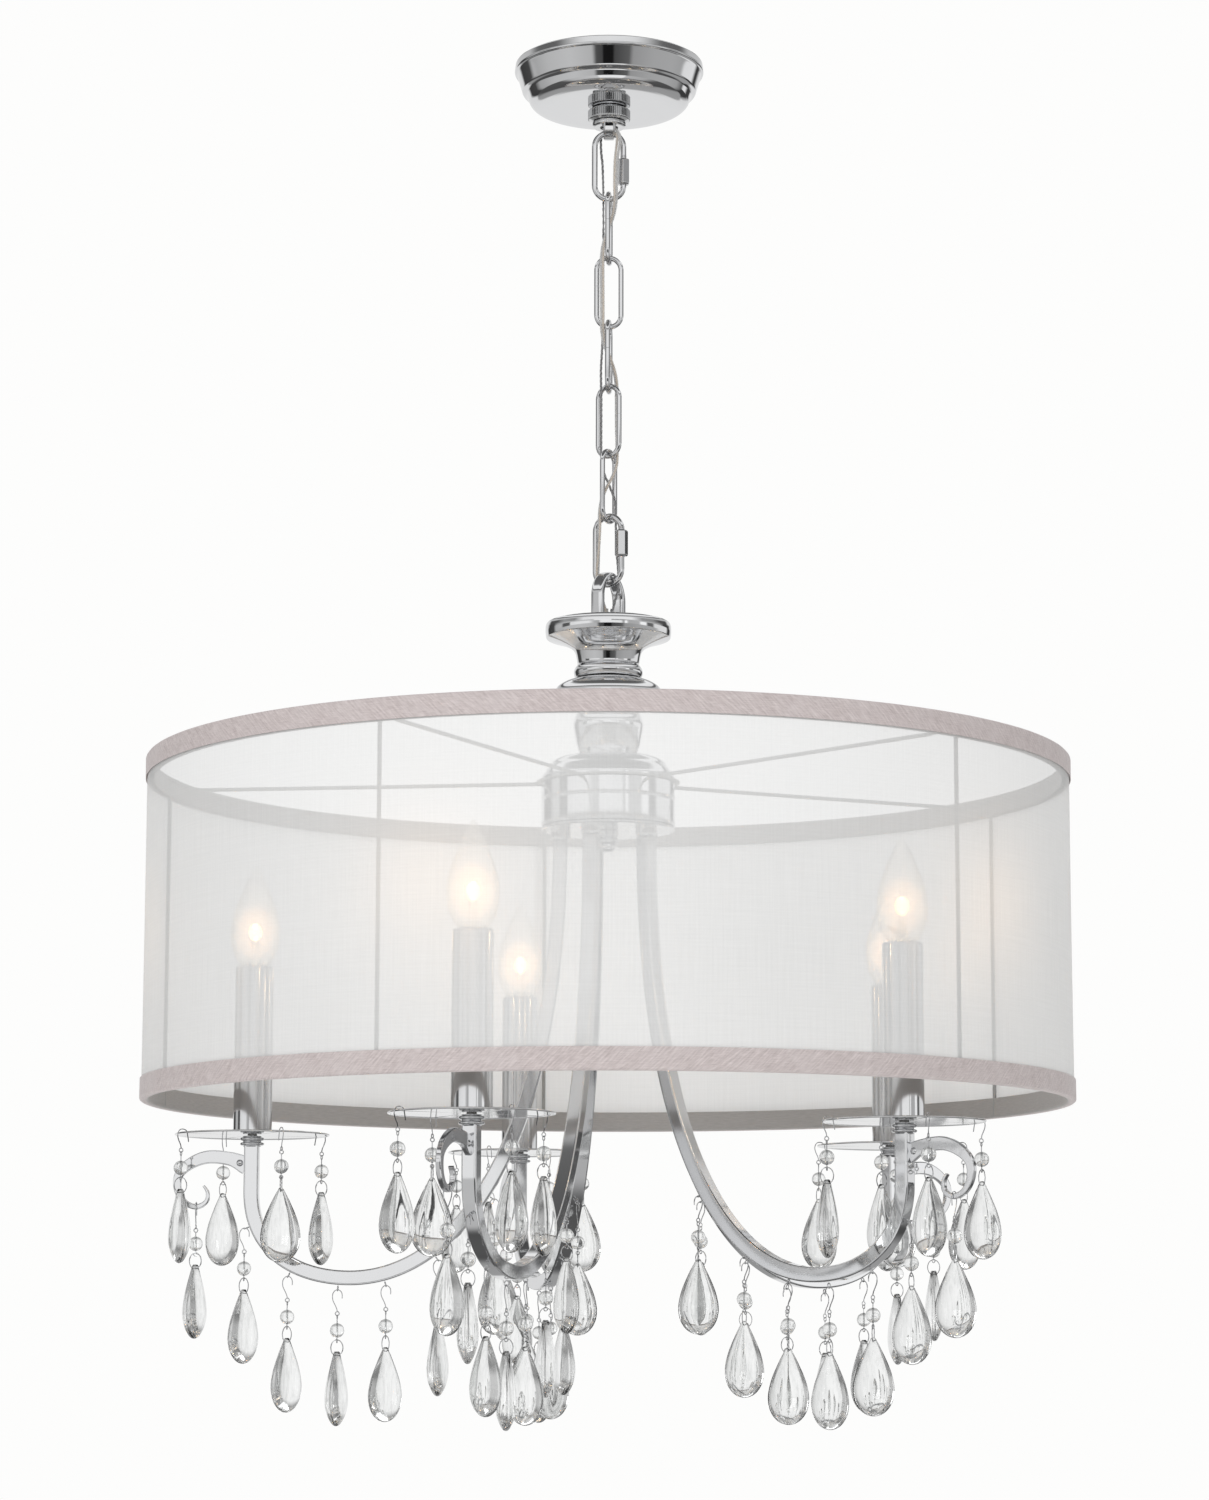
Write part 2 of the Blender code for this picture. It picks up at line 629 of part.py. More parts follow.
finial_top = hub_base_under - GAP
finial_outline = [
    (0, -FINIAL_BORE_DEPTH),
    (pipe_clear, -FINIAL_BORE_DEPTH),
    (pipe_clear, 0),
    *scaled_outline(FINIAL_OUTLINE_SHARES, FINIAL_RADIUS, FINIAL_HEIGHT),
    (0, -FINIAL_HEIGHT),
]
finial = turned("finial", finial_outline, COLUMN_SIDES // 2, finish("finial_chrome", CHROME, 0.07, 1.0))
hang(finial, fixture, (0, 0, finial_top))

pipe_under = finial_top - FINIAL_BORE_DEPTH + GAP
pipe_outline = bored([(PIPE_RADIUS, cap_top - GAP), (PIPE_RADIUS, pipe_under)], PIPE_BORE)
pipe_steel = finish("pipe_steel", STEEL, 0.4, 1.0)
centre_pipe = turned("centre_pipe", pipe_outline, COLUMN_SIDES // 2, pipe_steel, closed=True)
hang(centre_pipe, fixture)


def bezier(knots, steps):
    """Points along a cubic curve in the plane, from its four control points, without its first."""
    points = []
    for index in range(1, steps + 1):
        late = index / steps
        early = 1 - late
        weights = (early**3, 3 * early**2 * late, 3 * early * late**2, late**3)
        across = sum(weight * knot[0] for weight, knot in zip(weights, knots))
        height = sum(weight * knot[1] for weight, knot in zip(weights, knots))
        points.append((across, height))
    return points


# Arms: square tube, down from the hub in one long bend and up again to the candle
arm_top = boss_under - GAP
arm_low = arm_top - ARM_DROP
arm_end = arm_low + ARM_RISE
bend_end = arm_low + ARM_BEND_RISE
long_bend = [
    (BOSS_CIRCLE, arm_top),
    (BOSS_CIRCLE, arm_top - ARM_DROP * ARM_FIRST_PULL_SHARE),
    (BOSS_CIRCLE + (ARM_LOW_RADIUS - BOSS_CIRCLE) * ARM_SECOND_PULL_SHARE, arm_low),
    (ARM_LOW_RADIUS, arm_low),
]
short_bend = [
    (ARM_LOW_RADIUS, arm_low),
    (ARM_LOW_RADIUS + (CANDLE_RADIUS - ARM_LOW_RADIUS) * ARM_THIRD_PULL_SHARE, arm_low),
    (CANDLE_RADIUS, arm_low + ARM_BEND_RISE * ARM_FOURTH_PULL_SHARE),
    (CANDLE_RADIUS, bend_end),
]
arm_path = [
    (BOSS_CIRCLE, arm_top), (BOSS_CIRCLE, arm_top - ARM_SIZE), *bezier(long_bend, FIRST_BEND_STEPS),
    *bezier(short_bend, SECOND_BEND_STEPS), (CANDLE_RADIUS, arm_end)
]
half = ARM_SIZE / 2
square = [(half, half), (-half, half), (-half, -half), (half, -half)]
section = flat("arm_section", [square], 0, collection=cutters)
section.data.fill_mode = "NONE"
section.hide_render = True
section.display_type = "WIRE"
arm_curve = bpy.data.curves.new("arm_line", "CURVE")
arm_curve.dimensions = "2D"
arm_line = arm_curve.splines.new("POLY")
arm_line.points.add(len(arm_path) - 1)
for knot, (across, height) in zip(arm_line.points, arm_path):
    knot.co = (across, height, 0.0, 1.0)
arm_curve.bevel_mode = "OBJECT"
arm_curve.bevel_object = section
arm_curve.fill_mode = "NONE"
arm_skin = made("arm_skin", arm_curve, None, cutters)
arm_skin.matrix_world = Matrix.Rotation(math.radians(90), 4, "X")
arm_wall = made("arm_wall", evaluated_mesh(arm_skin), None, cutters)
wall = arm_wall.modifiers.new("wall", "SOLIDIFY")
wall.thickness = ARM_WALL
wall.offset = -1
arm_mesh = evaluated_mesh(arm_wall)

# Scroll: a flat plate brazed to the outer side of an arm's stem, tapering to a curl
scroll_root = CANDLE_RADIUS + ARM_SIZE / 2 - ARM_WALL / 2
scroll_top = arm_end - SCROLL_TOP
scroll_line = [
    (scroll_root + across * SCROLL_REACH, scroll_top - down * SCROLL_DEPTH, broad * SCROLL_WIDTH / 2)
    for across, down, broad in SCROLL_SHARES
]
scroll_left = []
scroll_right = []
for index, (across, height, half_width) in enumerate(scroll_line):
    before = scroll_line[max(index - 1, 0)]
    after = scroll_line[min(index + 1, len(scroll_line) - 1)]
    along = Vector((after[0] - before[0], after[1] - before[1])).normalized()
    if index == 0:
        along = Vector((1, 0))
    scroll_left.append((across - along.y * half_width, height + along.x * half_width))
    scroll_right.append((across + along.y * half_width, height - along.x * half_width))
scroll_flat = flat("scroll", [[*scroll_left, *reversed(scroll_right)]], SCROLL_THICKNESS, collection=cutters)
scroll_mesh = evaluated_mesh(scroll_flat)
scroll_mesh.transform(Matrix.Rotation(math.radians(90), 4, "X"))

# Candles: cup nut, pan, sleeve, lamp holder and bulb on each arm's end
cup_top = arm_end + CUP_NUT_HEIGHT
pan_under = cup_top + GAP
pan_top = pan_under + PAN_THICKNESS
sleeve_under = pan_top + GAP
sleeve_top = sleeve_under + CANDLE_SLEEVE_HEIGHT
holder_top = sleeve_top - HOLDER_RECESS
holder_foot = arm_end - HOLDER_STEM_DEPTH
holder_clear = (HOLDER_STEM_RADIUS + GAP) / math.cos(math.pi / HOLE_SIDES)
candle_places = [spin(turn) @ shift(CANDLE_RADIUS, 0, 0) for turn in arm_turns]

cup_side = scaled_outline(CUP_NUT_OUTLINE_SHARES, CUP_NUT_RADIUS, CUP_NUT_HEIGHT + ARM_WALL)
cup_outline = bored(cup_side, holder_clear)
cup_mesh = evaluated_mesh(turned("cup_nut", cup_outline, HOLE_SIDES, closed=True))

sleeve_inner = CANDLE_SLEEVE_RADIUS - CANDLE_SLEEVE_WALL
sleeve_side = [(CANDLE_SLEEVE_RADIUS, CANDLE_SLEEVE_HEIGHT), (CANDLE_SLEEVE_RADIUS, 0)]
sleeve_outline = bored(sleeve_side, sleeve_inner)
socket_bore = (BULB_BASE_RADIUS + GAP) / math.cos(math.pi / HOLE_SIDES)
socket_floor = holder_top - BULB_BASE_LENGTH - GAP
holder_outline = [
    (0, socket_floor),
    (socket_bore, socket_floor),
    (socket_bore, holder_top),
    (HOLDER_RADIUS, holder_top),
    (HOLDER_RADIUS, sleeve_under),
    (HOLDER_STEM_RADIUS, sleeve_under),
    (HOLDER_STEM_RADIUS, holder_foot),
    (0, holder_foot),
]
bulb_under = holder_top + GAP
bulb_outline = [(0, BULB_HEIGHT)]
for across, down in BULB_OUTLINE_SHARES:
    bulb_outline.append((across * BULB_RADIUS, BULB_HEIGHT * (1 - down)))
bulb_outline += [(BULB_BASE_RADIUS, 0), (BULB_BASE_RADIUS, -BULB_BASE_LENGTH), (0, -BULB_BASE_LENGTH)]
for index, place in enumerate(candle_places):
    number = index + 1
    across, along = place.translation.xy
    chrome = finish(f"sleeve_{number}_chrome", CHROME, 0.1, 1.0)
    sleeve = turned(f"candle_sleeve_{number}", sleeve_outline, CANDLE_SIDES, chrome, closed=True)
    hang(sleeve, fixture, (across, along, sleeve_under))
    white = finish(f"holder_{number}_white", PORCELAIN, 0.5, 0.0)
    holder = turned(f"lamp_holder_{number}", holder_outline, HOLE_SIDES, white)
    hang(holder, fixture, (across, along, 0))
    bulb_body = group(f"bulb_{number}_thread", (across, along, bulb_under), fixture)
    glass = finish(f"bulb_{number}_glass", CLEAR, 0.03, 0.0, 0.9)
    bulb = turned(f"bulb_{number}", bulb_outline, HOLE_SIDES, glass)
    hang(bulb, bulb_body, (across, along, bulb_under))

# Shade: fabric drum with a trim band round each edge, on one welded wire frame held in the hub
shade_top = spider_top + SHADE_RISE
shade_under = shade_top - SHADE_HEIGHT
fabric_radius = SHADE_RADIUS - TRIM_THICKNESS - GAP
fabric = turned(
    "shade_fabric", [(fabric_radius, shade_top), (fabric_radius, shade_under)], SHADE_SIDES,
    finish("sheer_fabric", SHEER, 0.8, 0.0, 0.5),
)
wall = fabric.modifiers.new("weave", "SOLIDIFY")
wall.thickness = FABRIC_THICKNESS
wall.offset = -1
shade_turn = FRAME_TURN + 180 / SHADE_SIDES
hang(fabric, fixture, (0, 0, 0), shade_turn)

trim_outline = bored([(SHADE_RADIUS, 0), (SHADE_RADIUS, -TRIM_HEIGHT)], SHADE_RADIUS - TRIM_THICKNESS)
for name, top in (("trim_top", shade_top), ("trim_bottom", shade_under + TRIM_HEIGHT)):
    trim = turned(name, trim_outline, SHADE_SIDES, finish(name + "_silk", SILK, 0.6, 0.0), closed=True)
    hang(trim, fixture, (0, 0, top), shade_turn)

wire_radius = FRAME_WIRE / 2
ring_radius = fabric_radius - FABRIC_THICKNESS - GAP - wire_radius
ring_side = ring_radius * math.cos(math.pi / SHADE_SIDES)
ring_top = shade_top - wire_radius
ring_under = shade_under + wire_radius
ring_line = circle(ring_radius, SHADE_SIDES, start=math.pi / SHADE_SIDES)
top_line = [(across, along, ring_top) for across, along in ring_line]
frame_top = evaluated_mesh(wire("frame_top", top_line, wire_radius, closed=True, collection=cutters))
low_line = [(across, along, ring_under) for across, along in ring_line]
frame_low = evaluated_mesh(wire("frame_low", low_line, wire_radius, closed=True, collection=cutters))
spider_middle = spider_top - SPIDER_THICKNESS / 2
washer_radius = HUB_RADIUS + SPIDER_LIP
washer_outline = bored(
    [(washer_radius, SPIDER_THICKNESS / 2), (washer_radius, -SPIDER_THICKNESS / 2)], pipe_clear
)
washer = evaluated_mesh(turned("washer", washer_outline, COLUMN_SIDES, closed=True, collection=cutters))
kink_radius = SHADE_RADIUS - SPOKE_KINK_INSET
spoke_line = [
    (washer_radius - wire_radius, 0, spider_middle), (kink_radius, 0, spider_middle + SHADE_RISE / 4),
    (ring_side - wire_radius / 3, 0, ring_top)
]
spoke = evaluated_mesh(wire("spoke", spoke_line, STRUT_WIRE / 2, collection=cutters))
strut_radius = ring_side - wire_radius / 5
strut_line = [
    (strut_radius, STRUT_ASIDE, ring_top - wire_radius / 4),
    (strut_radius, STRUT_ASIDE, ring_under + wire_radius / 4)
]
strut = evaluated_mesh(wire("strut", strut_line, STRUT_WIRE / 2, collection=cutters))
frame_pieces = [(frame_low, Matrix()), (washer, shift(0, 0, spider_middle))]
for index in range(SPOKE_COUNT):
    around = spin(360 / SPOKE_COUNT * index)
    frame_pieces += [(spoke, around), (strut, around)]
frame = joined("shade_frame", frame_top, frame_pieces, finish("frame_wire", LACQUER, 0.4, 0.6))
hang(frame, fixture, (0, 0, 0), FRAME_TURN)

# Crystal pendants: a wire through a round bead down to a flat almond drop
pendant_rows = [(BEAD_RADIUS, HANGER_RADIUS)]
pendant_rows += [(up * BEAD_RADIUS, across * BEAD_RADIUS) for across, up in BEAD_OUTLINE_SHARES]
pendant_rows += [(-BEAD_RADIUS, HANGER_RADIUS), (-BEAD_TO_DROP, HANGER_RADIUS)]
for across, down in DROP_OUTLINE_SHARES:
    pendant_rows.append((-BEAD_TO_DROP - down * DROP_LENGTH, across * DROP_WIDTH / 2))
corner_turn = math.tau / DROP_SIDES
flattening = DROP_THICKNESS / (DROP_WIDTH * math.sin(corner_turn))


def pendant(upper_line, bead_height, drop_turn):
    """One pendant in the XZ plane: its wire from the upper end down, then its bead and drop."""
    across = upper_line[-1][0]
    rows = [(*place, HANGER_RADIUS) for place in upper_line]
    rows += [(across, bead_height + height, radius) for height, radius in pendant_rows]
    line = [(row[0], 0, row[1]) for row in rows]
    obj = wire("pendant", line, 1.0, resolution=LINK_RESOLUTION, collection=cutters)
    for knot, row in zip(obj.data.splines[0].points, rows):
        knot.radius = row[2]
    mesh = evaluated_mesh(obj)
    turn = math.radians(drop_turn)
    broad = Vector((math.cos(turn), math.sin(turn), 0))
    thin = Vector((-broad.y, broad.x, 0))
    below = [vertex for vertex in mesh.vertices if vertex.co.z < bead_height - BEAD_TO_DROP - MERGE]
    corner = max(below, key=lambda vertex: (vertex.co - Vector((across, 0, vertex.co.z))).dot(broad)).co
    twist = math.atan2(thin.dot(corner), broad.dot(corner - Vector((across, 0, 0))))
    for vertex in below:
        offset = vertex.co - Vector((across, 0, vertex.co.z))
        offset.rotate(Matrix.Rotation(-twist, 3, "Z"))
        flat_out = broad * offset.dot(broad) + thin * offset.dot(thin) * flattening
        vertex.co = Vector((across, 0, vertex.co.z)) + flat_out
    return mesh


arm_lengths = [0.0]
for first, second in zip(arm_path, arm_path[1:]):
    arm_lengths.append(arm_lengths[-1] + math.dist(first, second))


def along_arm(share):
    """The place at a share of the arm's length, and the arm's heading there."""
    distance = share * arm_lengths[-1]
    index = max(step for step in range(len(arm_path) - 1) if arm_lengths[step] <= distance)
    first = Vector(arm_path[index])
    heading = (Vector(arm_path[index + 1]) - first).normalized()
    return first + heading * (distance - arm_lengths[index]), heading


# Each arm is one brazed piece with its cup nut and scroll, and carries six pendants
for index, turn in enumerate(arm_turns):
    pieces = [(scroll_mesh, Matrix()), (cup_mesh, shift(CANDLE_RADIUS, 0, cup_top))]
    for share, drop_turn in zip(EYELET_SHARES, ARM_DROP_TURNS[index]):
        spot, heading = along_arm(share)
        outward = Vector((heading.y, -heading.x))
        foot = spot + outward * (ARM_SIZE / 2 - ARM_WALL / 2)
        elbow = spot + outward * (ARM_SIZE / 2 + EYELET_DEPTH)
        pieces.append((pendant([foot, elbow], elbow.y - EYELET_TO_BEAD, drop_turn), Matrix()))
    chrome = finish(f"arm_{index + 1}_chrome", CHROME, 0.07, 1.0)
    hang(joined(f"arm_{index + 1}", arm_mesh.copy(), pieces, chrome), fixture, (0, 0, 0), turn)

# Each pan carries four pendants at its rim
pan_outlines = [circle(PAN_RADIUS, COLUMN_SIDES), circle(holder_clear, HOLE_SIDES)]
pan_mesh = evaluated_mesh(flat("pan", pan_outlines, PAN_THICKNESS, collection=cutters))
hang_radius = PAN_RADIUS - 4 * HANGER_RADIUS
for index, (place, pan_turn) in enumerate(zip(candle_places, PAN_TURNS)):
    pieces = []
    for step, drop_turn in enumerate(PAN_DROP_TURNS[index]):
        around = spin(360 / PENDANTS_ON_PAN * step)
        pieces.append((pendant([(hang_radius, 0)], -PAN_TO_BEAD, drop_turn), around))
    chrome = finish(f"pan_{index + 1}_chrome", CHROME, 0.08, 1.0)
    pan = joined(f"pan_{index + 1}", pan_mesh.copy(), pieces, chrome)
    across, along = place.translation.xy
    hang(pan, fixture, (across, along, pan_under + PAN_THICKNESS / 2), arm_turns[index] + pan_turn)

# Scroll pendants: each hangs by a hook in the bend of a scroll, and swings there
bend = SCROLL_SHARES[SCROLL_BEND_STEP]
bend_x = scroll_root + bend[0] * SCROLL_REACH
bend_z = scroll_top - bend[1] * SCROLL_DEPTH + bend[2] * SCROLL_WIDTH / 2
beside = SCROLL_THICKNESS / 2 + GAP + HOOK_RADIUS
hook_height = GAP + HOOK_RADIUS
below_bend = -SCROLL_WIDTH
hook_line = [
    (0, -beside, below_bend), (0, -beside, hook_height), (0, beside, hook_height), (0, beside, below_bend),
    (0, 0, below_bend - HOOK_TAIL), (0, 0, below_bend - 2 * HOOK_TAIL)
]
scroll_hook = evaluated_mesh(wire("scroll_hook", hook_line, HOOK_RADIUS, collection=cutters))
wire_top = below_bend - HOOK_TAIL * 3 / 2
for index, (turn, drop_turn) in enumerate(zip(arm_turns, SCROLL_DROP_TURNS)):
    name = f"scroll_pendant_{index + 1}"
    pieces = [(pendant([(0, wire_top)], -EYELET_TO_BEAD, drop_turn), Matrix())]
    place = spin(turn) @ Vector((bend_x, 0, bend_z))
    body = group(name + "_swing", place, fixture)
    glass = finish(name + "_glass", CLEAR, 0.02, 0.0, 0.95)
    hang(joined(name, scroll_hook.copy(), pieces, glass), body, place, turn)

# Supply flex and its ground wire, woven down through the chain and into the centre pipe
# Each row of a route: depth below the ceiling, the place to the right and to the back, and the
# direction of the flex's broad side
FLEX_ROUTE = (
    (0.0010, 0.0009, -0.0009, 45), (0.0390, 0.0009, -0.0010, 30), (0.0435, 0.0015, -0.0032, 0),
    (0.0503, 0.0061, -0.0036, 0), (0.0550, 0.0064, -0.0040, 5), (0.0620, 0.0056, -0.0054, 30),
    (0.0720, 0.0046, -0.0057, 40), (0.0860, 0.0044, -0.0052, 42), (0.0960, 0.0044, -0.0046, 44),
    (0.1060, 0.0030, -0.0030, 65), (0.1150, 0.0000, -0.0016, 90), (0.1240, -0.0030, -0.0026, 110),
    (0.1330, -0.0044, -0.0044, 130), (0.1450, -0.0046, -0.0048, 135), (0.1750, -0.0044, -0.0050, 135),
    (0.1860, -0.0044, -0.0044, 132), (0.1960, -0.0028, -0.0024, 126), (0.2050, 0.0004, -0.0004, 122),
    (0.2140, 0.0036, 0.0012, 118), (0.2230, 0.0052, 0.0022, 115), (0.2340, 0.0054, 0.0024, 114),
    (0.2500, 0.0054, 0.0020, 110), (0.2650, 0.0056, 0.0015, 105), (0.2780, 0.0054, 0.0012, 104),
    (0.2870, 0.0028, -0.0008, 108), (0.2950, -0.0012, -0.0026, 110), (0.3030, -0.0044, -0.0026, 110),
    (0.3120, -0.0059, -0.0018, 107), (0.3250, -0.0061, -0.0018, 107), (0.3400, -0.0066, -0.0014, 85),
    (0.3520, -0.0073, -0.0010, 62), (0.3640, -0.0072, -0.0010, 62), (0.3740, -0.0034, -0.0006, 75),
    (0.3810, -0.0014, -0.0002, 90), (0.3880, -0.0010, -0.0001, 90), (0.5000, -0.0010, -0.0001, 90)
)
GROUND_ROUTE = (
    (0.0010, -0.0013, 0.0013), (0.0400, -0.0014, 0.0014), (0.0435, -0.0024, 0.0031),
    (0.0480, -0.0044, 0.0035), (0.0505, -0.0054, 0.0036), (0.0550, -0.0056, 0.0038),
    (0.0620, -0.0052, 0.0044), (0.0700, -0.0044, 0.0044), (0.0960, -0.0038, 0.0040),
    (0.1330, -0.0038, 0.0038), (0.1600, -0.0040, 0.0036), (0.1780, -0.0040, 0.0038),
    (0.1960, -0.0044, 0.0024), (0.2120, -0.0052, -0.0004), (0.2230, -0.0052, -0.0020),
    (0.2340, -0.0050, -0.0022), (0.2500, -0.0050, -0.0018), (0.2650, -0.0050, -0.0013),
    (0.2780, -0.0047, -0.0009), (0.2860, -0.0026, 0.0014), (0.2930, 0.0006, 0.0034),
    (0.3030, 0.0042, 0.0028), (0.3120, 0.0048, 0.0016), (0.3250, 0.0050, 0.0014),
    (0.3400, 0.0056, 0.0008), (0.3520, 0.0065, 0.0001), (0.3640, 0.0064, 0.0001),
    (0.3740, 0.0040, 0.0002), (0.3810, 0.0024, 0.0002), (0.3880, 0.0020, 0.0002),
    (0.5000, 0.0020, 0.0002)
)


def flat_cord(route, half_width, half_thickness):
    """The mesh of a flat cord: six-cornered sections along a route, closed at both ends."""
    places = [Vector((right, back, -depth)) for depth, right, back, turn in route]
    corners = []
    for index, (place, row) in enumerate(zip(places, route)):
        along = (places[min(index + 1, len(places) - 1)] - places[max(index - 1, 0)]).normalized()
        broad = Vector((math.cos(math.radians(row[3])), math.sin(math.radians(row[3])), 0))
        broad = (broad - along * broad.dot(along)).normalized()
        thin = along.cross(broad)
        for across, out in circle(1.0, NUT_SIDES):
            corners.append(place + broad * across * half_width + thin * out * half_thickness)
    faces = [list(range(NUT_SIDES))]
    for first in range(0, len(corners) - NUT_SIDES, NUT_SIDES):
        for side in range(NUT_SIDES):
            other = (side + 1) % NUT_SIDES
            faces.append([first + other, first + side, first + NUT_SIDES + side, first + NUT_SIDES + other])
    faces.append(list(range(len(corners) - 1, len(corners) - NUT_SIDES - 1, -1)))
    mesh = bpy.data.meshes.new("flat_cord")
    mesh.from_pydata(corners, [], faces)
    work = bmesh.new()
    work.from_mesh(mesh)
    bmesh.ops.recalc_face_normals(work, faces=work.faces)
    work.to_mesh(mesh)
    work.free()
    return mesh


flex_mesh = flat_cord(FLEX_ROUTE, FLEX_WIDTH / 2, FLEX_THICKNESS / 2)
hang(made("supply_flex", flex_mesh, finish("clear_flex", CLEAR, 0.2, 0.3)), ceiling)
ground_line = [(right, back, -depth) for depth, right, back in GROUND_ROUTE]
hang(wire("ground_wire", ground_line, GROUND_RADIUS, finish("bare_wire", STEEL, 0.3, 1.0)), ceiling)
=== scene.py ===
import math

import bmesh
import bpy
from mathutils import Matrix, Vector


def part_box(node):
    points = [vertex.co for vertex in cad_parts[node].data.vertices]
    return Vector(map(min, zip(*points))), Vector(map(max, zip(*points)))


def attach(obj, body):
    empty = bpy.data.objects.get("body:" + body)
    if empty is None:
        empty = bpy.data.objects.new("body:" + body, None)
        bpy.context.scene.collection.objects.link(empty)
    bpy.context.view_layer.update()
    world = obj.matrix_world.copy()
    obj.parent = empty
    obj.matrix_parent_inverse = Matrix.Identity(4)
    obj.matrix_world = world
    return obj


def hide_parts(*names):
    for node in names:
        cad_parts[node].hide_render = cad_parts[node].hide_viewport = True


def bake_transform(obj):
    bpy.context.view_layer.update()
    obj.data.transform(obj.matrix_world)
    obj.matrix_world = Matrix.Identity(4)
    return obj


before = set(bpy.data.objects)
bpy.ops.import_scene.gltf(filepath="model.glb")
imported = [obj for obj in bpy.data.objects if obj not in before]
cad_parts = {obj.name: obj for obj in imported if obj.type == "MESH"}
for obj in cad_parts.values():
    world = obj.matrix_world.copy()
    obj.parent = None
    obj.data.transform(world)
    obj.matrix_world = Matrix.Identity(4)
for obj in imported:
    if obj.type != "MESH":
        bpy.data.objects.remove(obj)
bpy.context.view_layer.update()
scene = bpy.context.scene

# Studio: a long lens a little above the lower arms, level with the crystals and tipped up at the shade.
# The world is white behind the object. Chrome shows a surround of its own, white with dark cards and a
# dim floor, and the crystals a softer one, so that both have the edges that they have in the photo.


def placed(name, data):
    """A new object in the scene."""
    obj = bpy.data.objects.new(name, data)
    scene.collection.objects.link(obj)
    return obj


lens_pixels = 3891.553
photo_height = 1500
sensor_size = 36
camera_place = (0, -2.553072, -0.87574)
turned_aside = 0.000966
tipped_up = 0.15641
rolled = 0.001585
camera_data = bpy.data.cameras.new("camera")
camera_data.sensor_width = sensor_size
camera_data.lens = sensor_size * lens_pixels / photo_height
camera_data.clip_start = 0.05
camera_data.clip_end = 60
camera = placed("camera", camera_data)
camera.matrix_world = (
    Matrix.Translation(camera_place) @ Matrix.Rotation(turned_aside, 4, "Z")
    @ Matrix.Rotation(math.pi / 2 + tipped_up, 4, "X") @ Matrix.Rotation(rolled, 4, "Z")
)
scene.camera = camera
scene.view_settings.view_transform = "Standard"


class Amount:
    """A number or a colour on its way through a finish; sums on it add Math nodes."""

    def __init__(self, recipe, socket):
        self.recipe = recipe
        self.socket = socket

    def part(self, label):
        """Another output of the same node."""
        return Amount(self.recipe, self.socket.node.outputs[label])

    def sum(self, operation, first, second=None):
        return self.recipe.node("ShaderNodeMath", {"operation": operation}, first, second)

    def __add__(self, other):
        return self.sum("ADD", self, other)

    def __radd__(self, other):
        return self.sum("ADD", other, self)

    def __sub__(self, other):
        return self.sum("SUBTRACT", self, other)

    def __rsub__(self, other):
        return self.sum("SUBTRACT", other, self)

    def __mul__(self, other):
        return self.sum("MULTIPLY", self, other)

    def __rmul__(self, other):
        return self.sum("MULTIPLY", other, self)

    def __truediv__(self, other):
        return self.sum("DIVIDE", self, other)

    def __rtruediv__(self, other):
        return self.sum("DIVIDE", other, self)

    def __pow__(self, other):
        return self.sum("POWER", self, other)

    def sine(self):
        return self.sum("SINE", self)

    def size(self):
        return self.sum("ABSOLUTE", self)


class Recipe:
    """The nodes of one finish, added a node at a time."""

    def __init__(self, tree):
        self.tree = tree
        self.tree.nodes.clear()

    def node(self, kind, settings, *values, output=0):
        """One node: its settings are set first, then the values or links of its sockets in order."""
        made = self.tree.nodes.new(kind)
        for key, value in settings.items():
            if key == "stops":
                elements = made.color_ramp.elements
                while len(elements) < len(value):
                    elements.new(1.0)
                for element, (place, colour) in zip(elements, value):
                    element.position = place
                    element.color = (*colour, 1.0)
            else:
                setattr(made, key, value)
        for socket, value in zip(made.inputs, values):
            self.feed(socket, value)
        return Amount(self, made.outputs[output] if made.outputs else None)

    def feed(self, socket, value):
        if isinstance(value, Amount):
            self.tree.links.new(value.socket, socket)
        elif value is not None:
            socket.default_value = value

    def place(self):
        """Where a point is on the object, in metres."""
        return self.node("ShaderNodeTexCoord", {}, output="Object")

    def noise(self, where, scale, detail=2.0, rough=0.5):
        return self.node("ShaderNodeTexNoise", {}, where, None, scale, detail, rough)

    def stretched(self, where, across, along, up):
        """The same place with each direction stretched by its own factor."""
        return self.node("ShaderNodeMapping", {}, where, None, None, (across, along, up))

    def tint(self, factor, first, second, mode="MIX"):
        """A colour between two, each given as three numbers or as a link."""
        mix = self.tree.nodes.new("ShaderNodeMix")
        mix.data_type = "RGBA"
        mix.blend_type = mode
        share, under, over, mixed = 0, 6, 7, 2
        for socket, value in ((share, factor), (under, first), (over, second)):
            self.feed(mix.inputs[socket], (*value, 1.0) if isinstance(value, tuple) else value)
        return Amount(self, mix.outputs[mixed])

    def rising(self, value, start, end):
        """0 before the start, 1 past the end, and a smooth rise between them."""
        return self.node("ShaderNodeMapRange", {"interpolation_type": "SMOOTHSTEP"}, value, start, end)

    def raised(self, height, depth, strength=1.0):
        """The normal of a surface with small relief of the given depth in metres."""
        return self.node("ShaderNodeBump", {}, strength, depth, None, height)


def finish(name, **sockets):
    """A material with one Principled shader, some of its sockets set, and the recipe to add to it."""
    material = bpy.data.materials.new(name)
    material.use_nodes = True
    recipe = Recipe(material.node_tree)
    shader = recipe.tree.nodes.new("ShaderNodeBsdfPrincipled")
    output = recipe.tree.nodes.new("ShaderNodeOutputMaterial")
    recipe.tree.links.new(shader.outputs[0], output.inputs[0])
    recipe.shader = shader
    for key, value in sockets.items():
        coat(recipe, key, value)
    return material, recipe


def coat(recipe, socket, value):
    """Sets or links one socket of a finish's shader; its name has _ for each space."""
    if isinstance(value, tuple):
        value = (*value, 1.0)
    recipe.feed(recipe.shader.inputs[socket.replace("_", " ")], value)


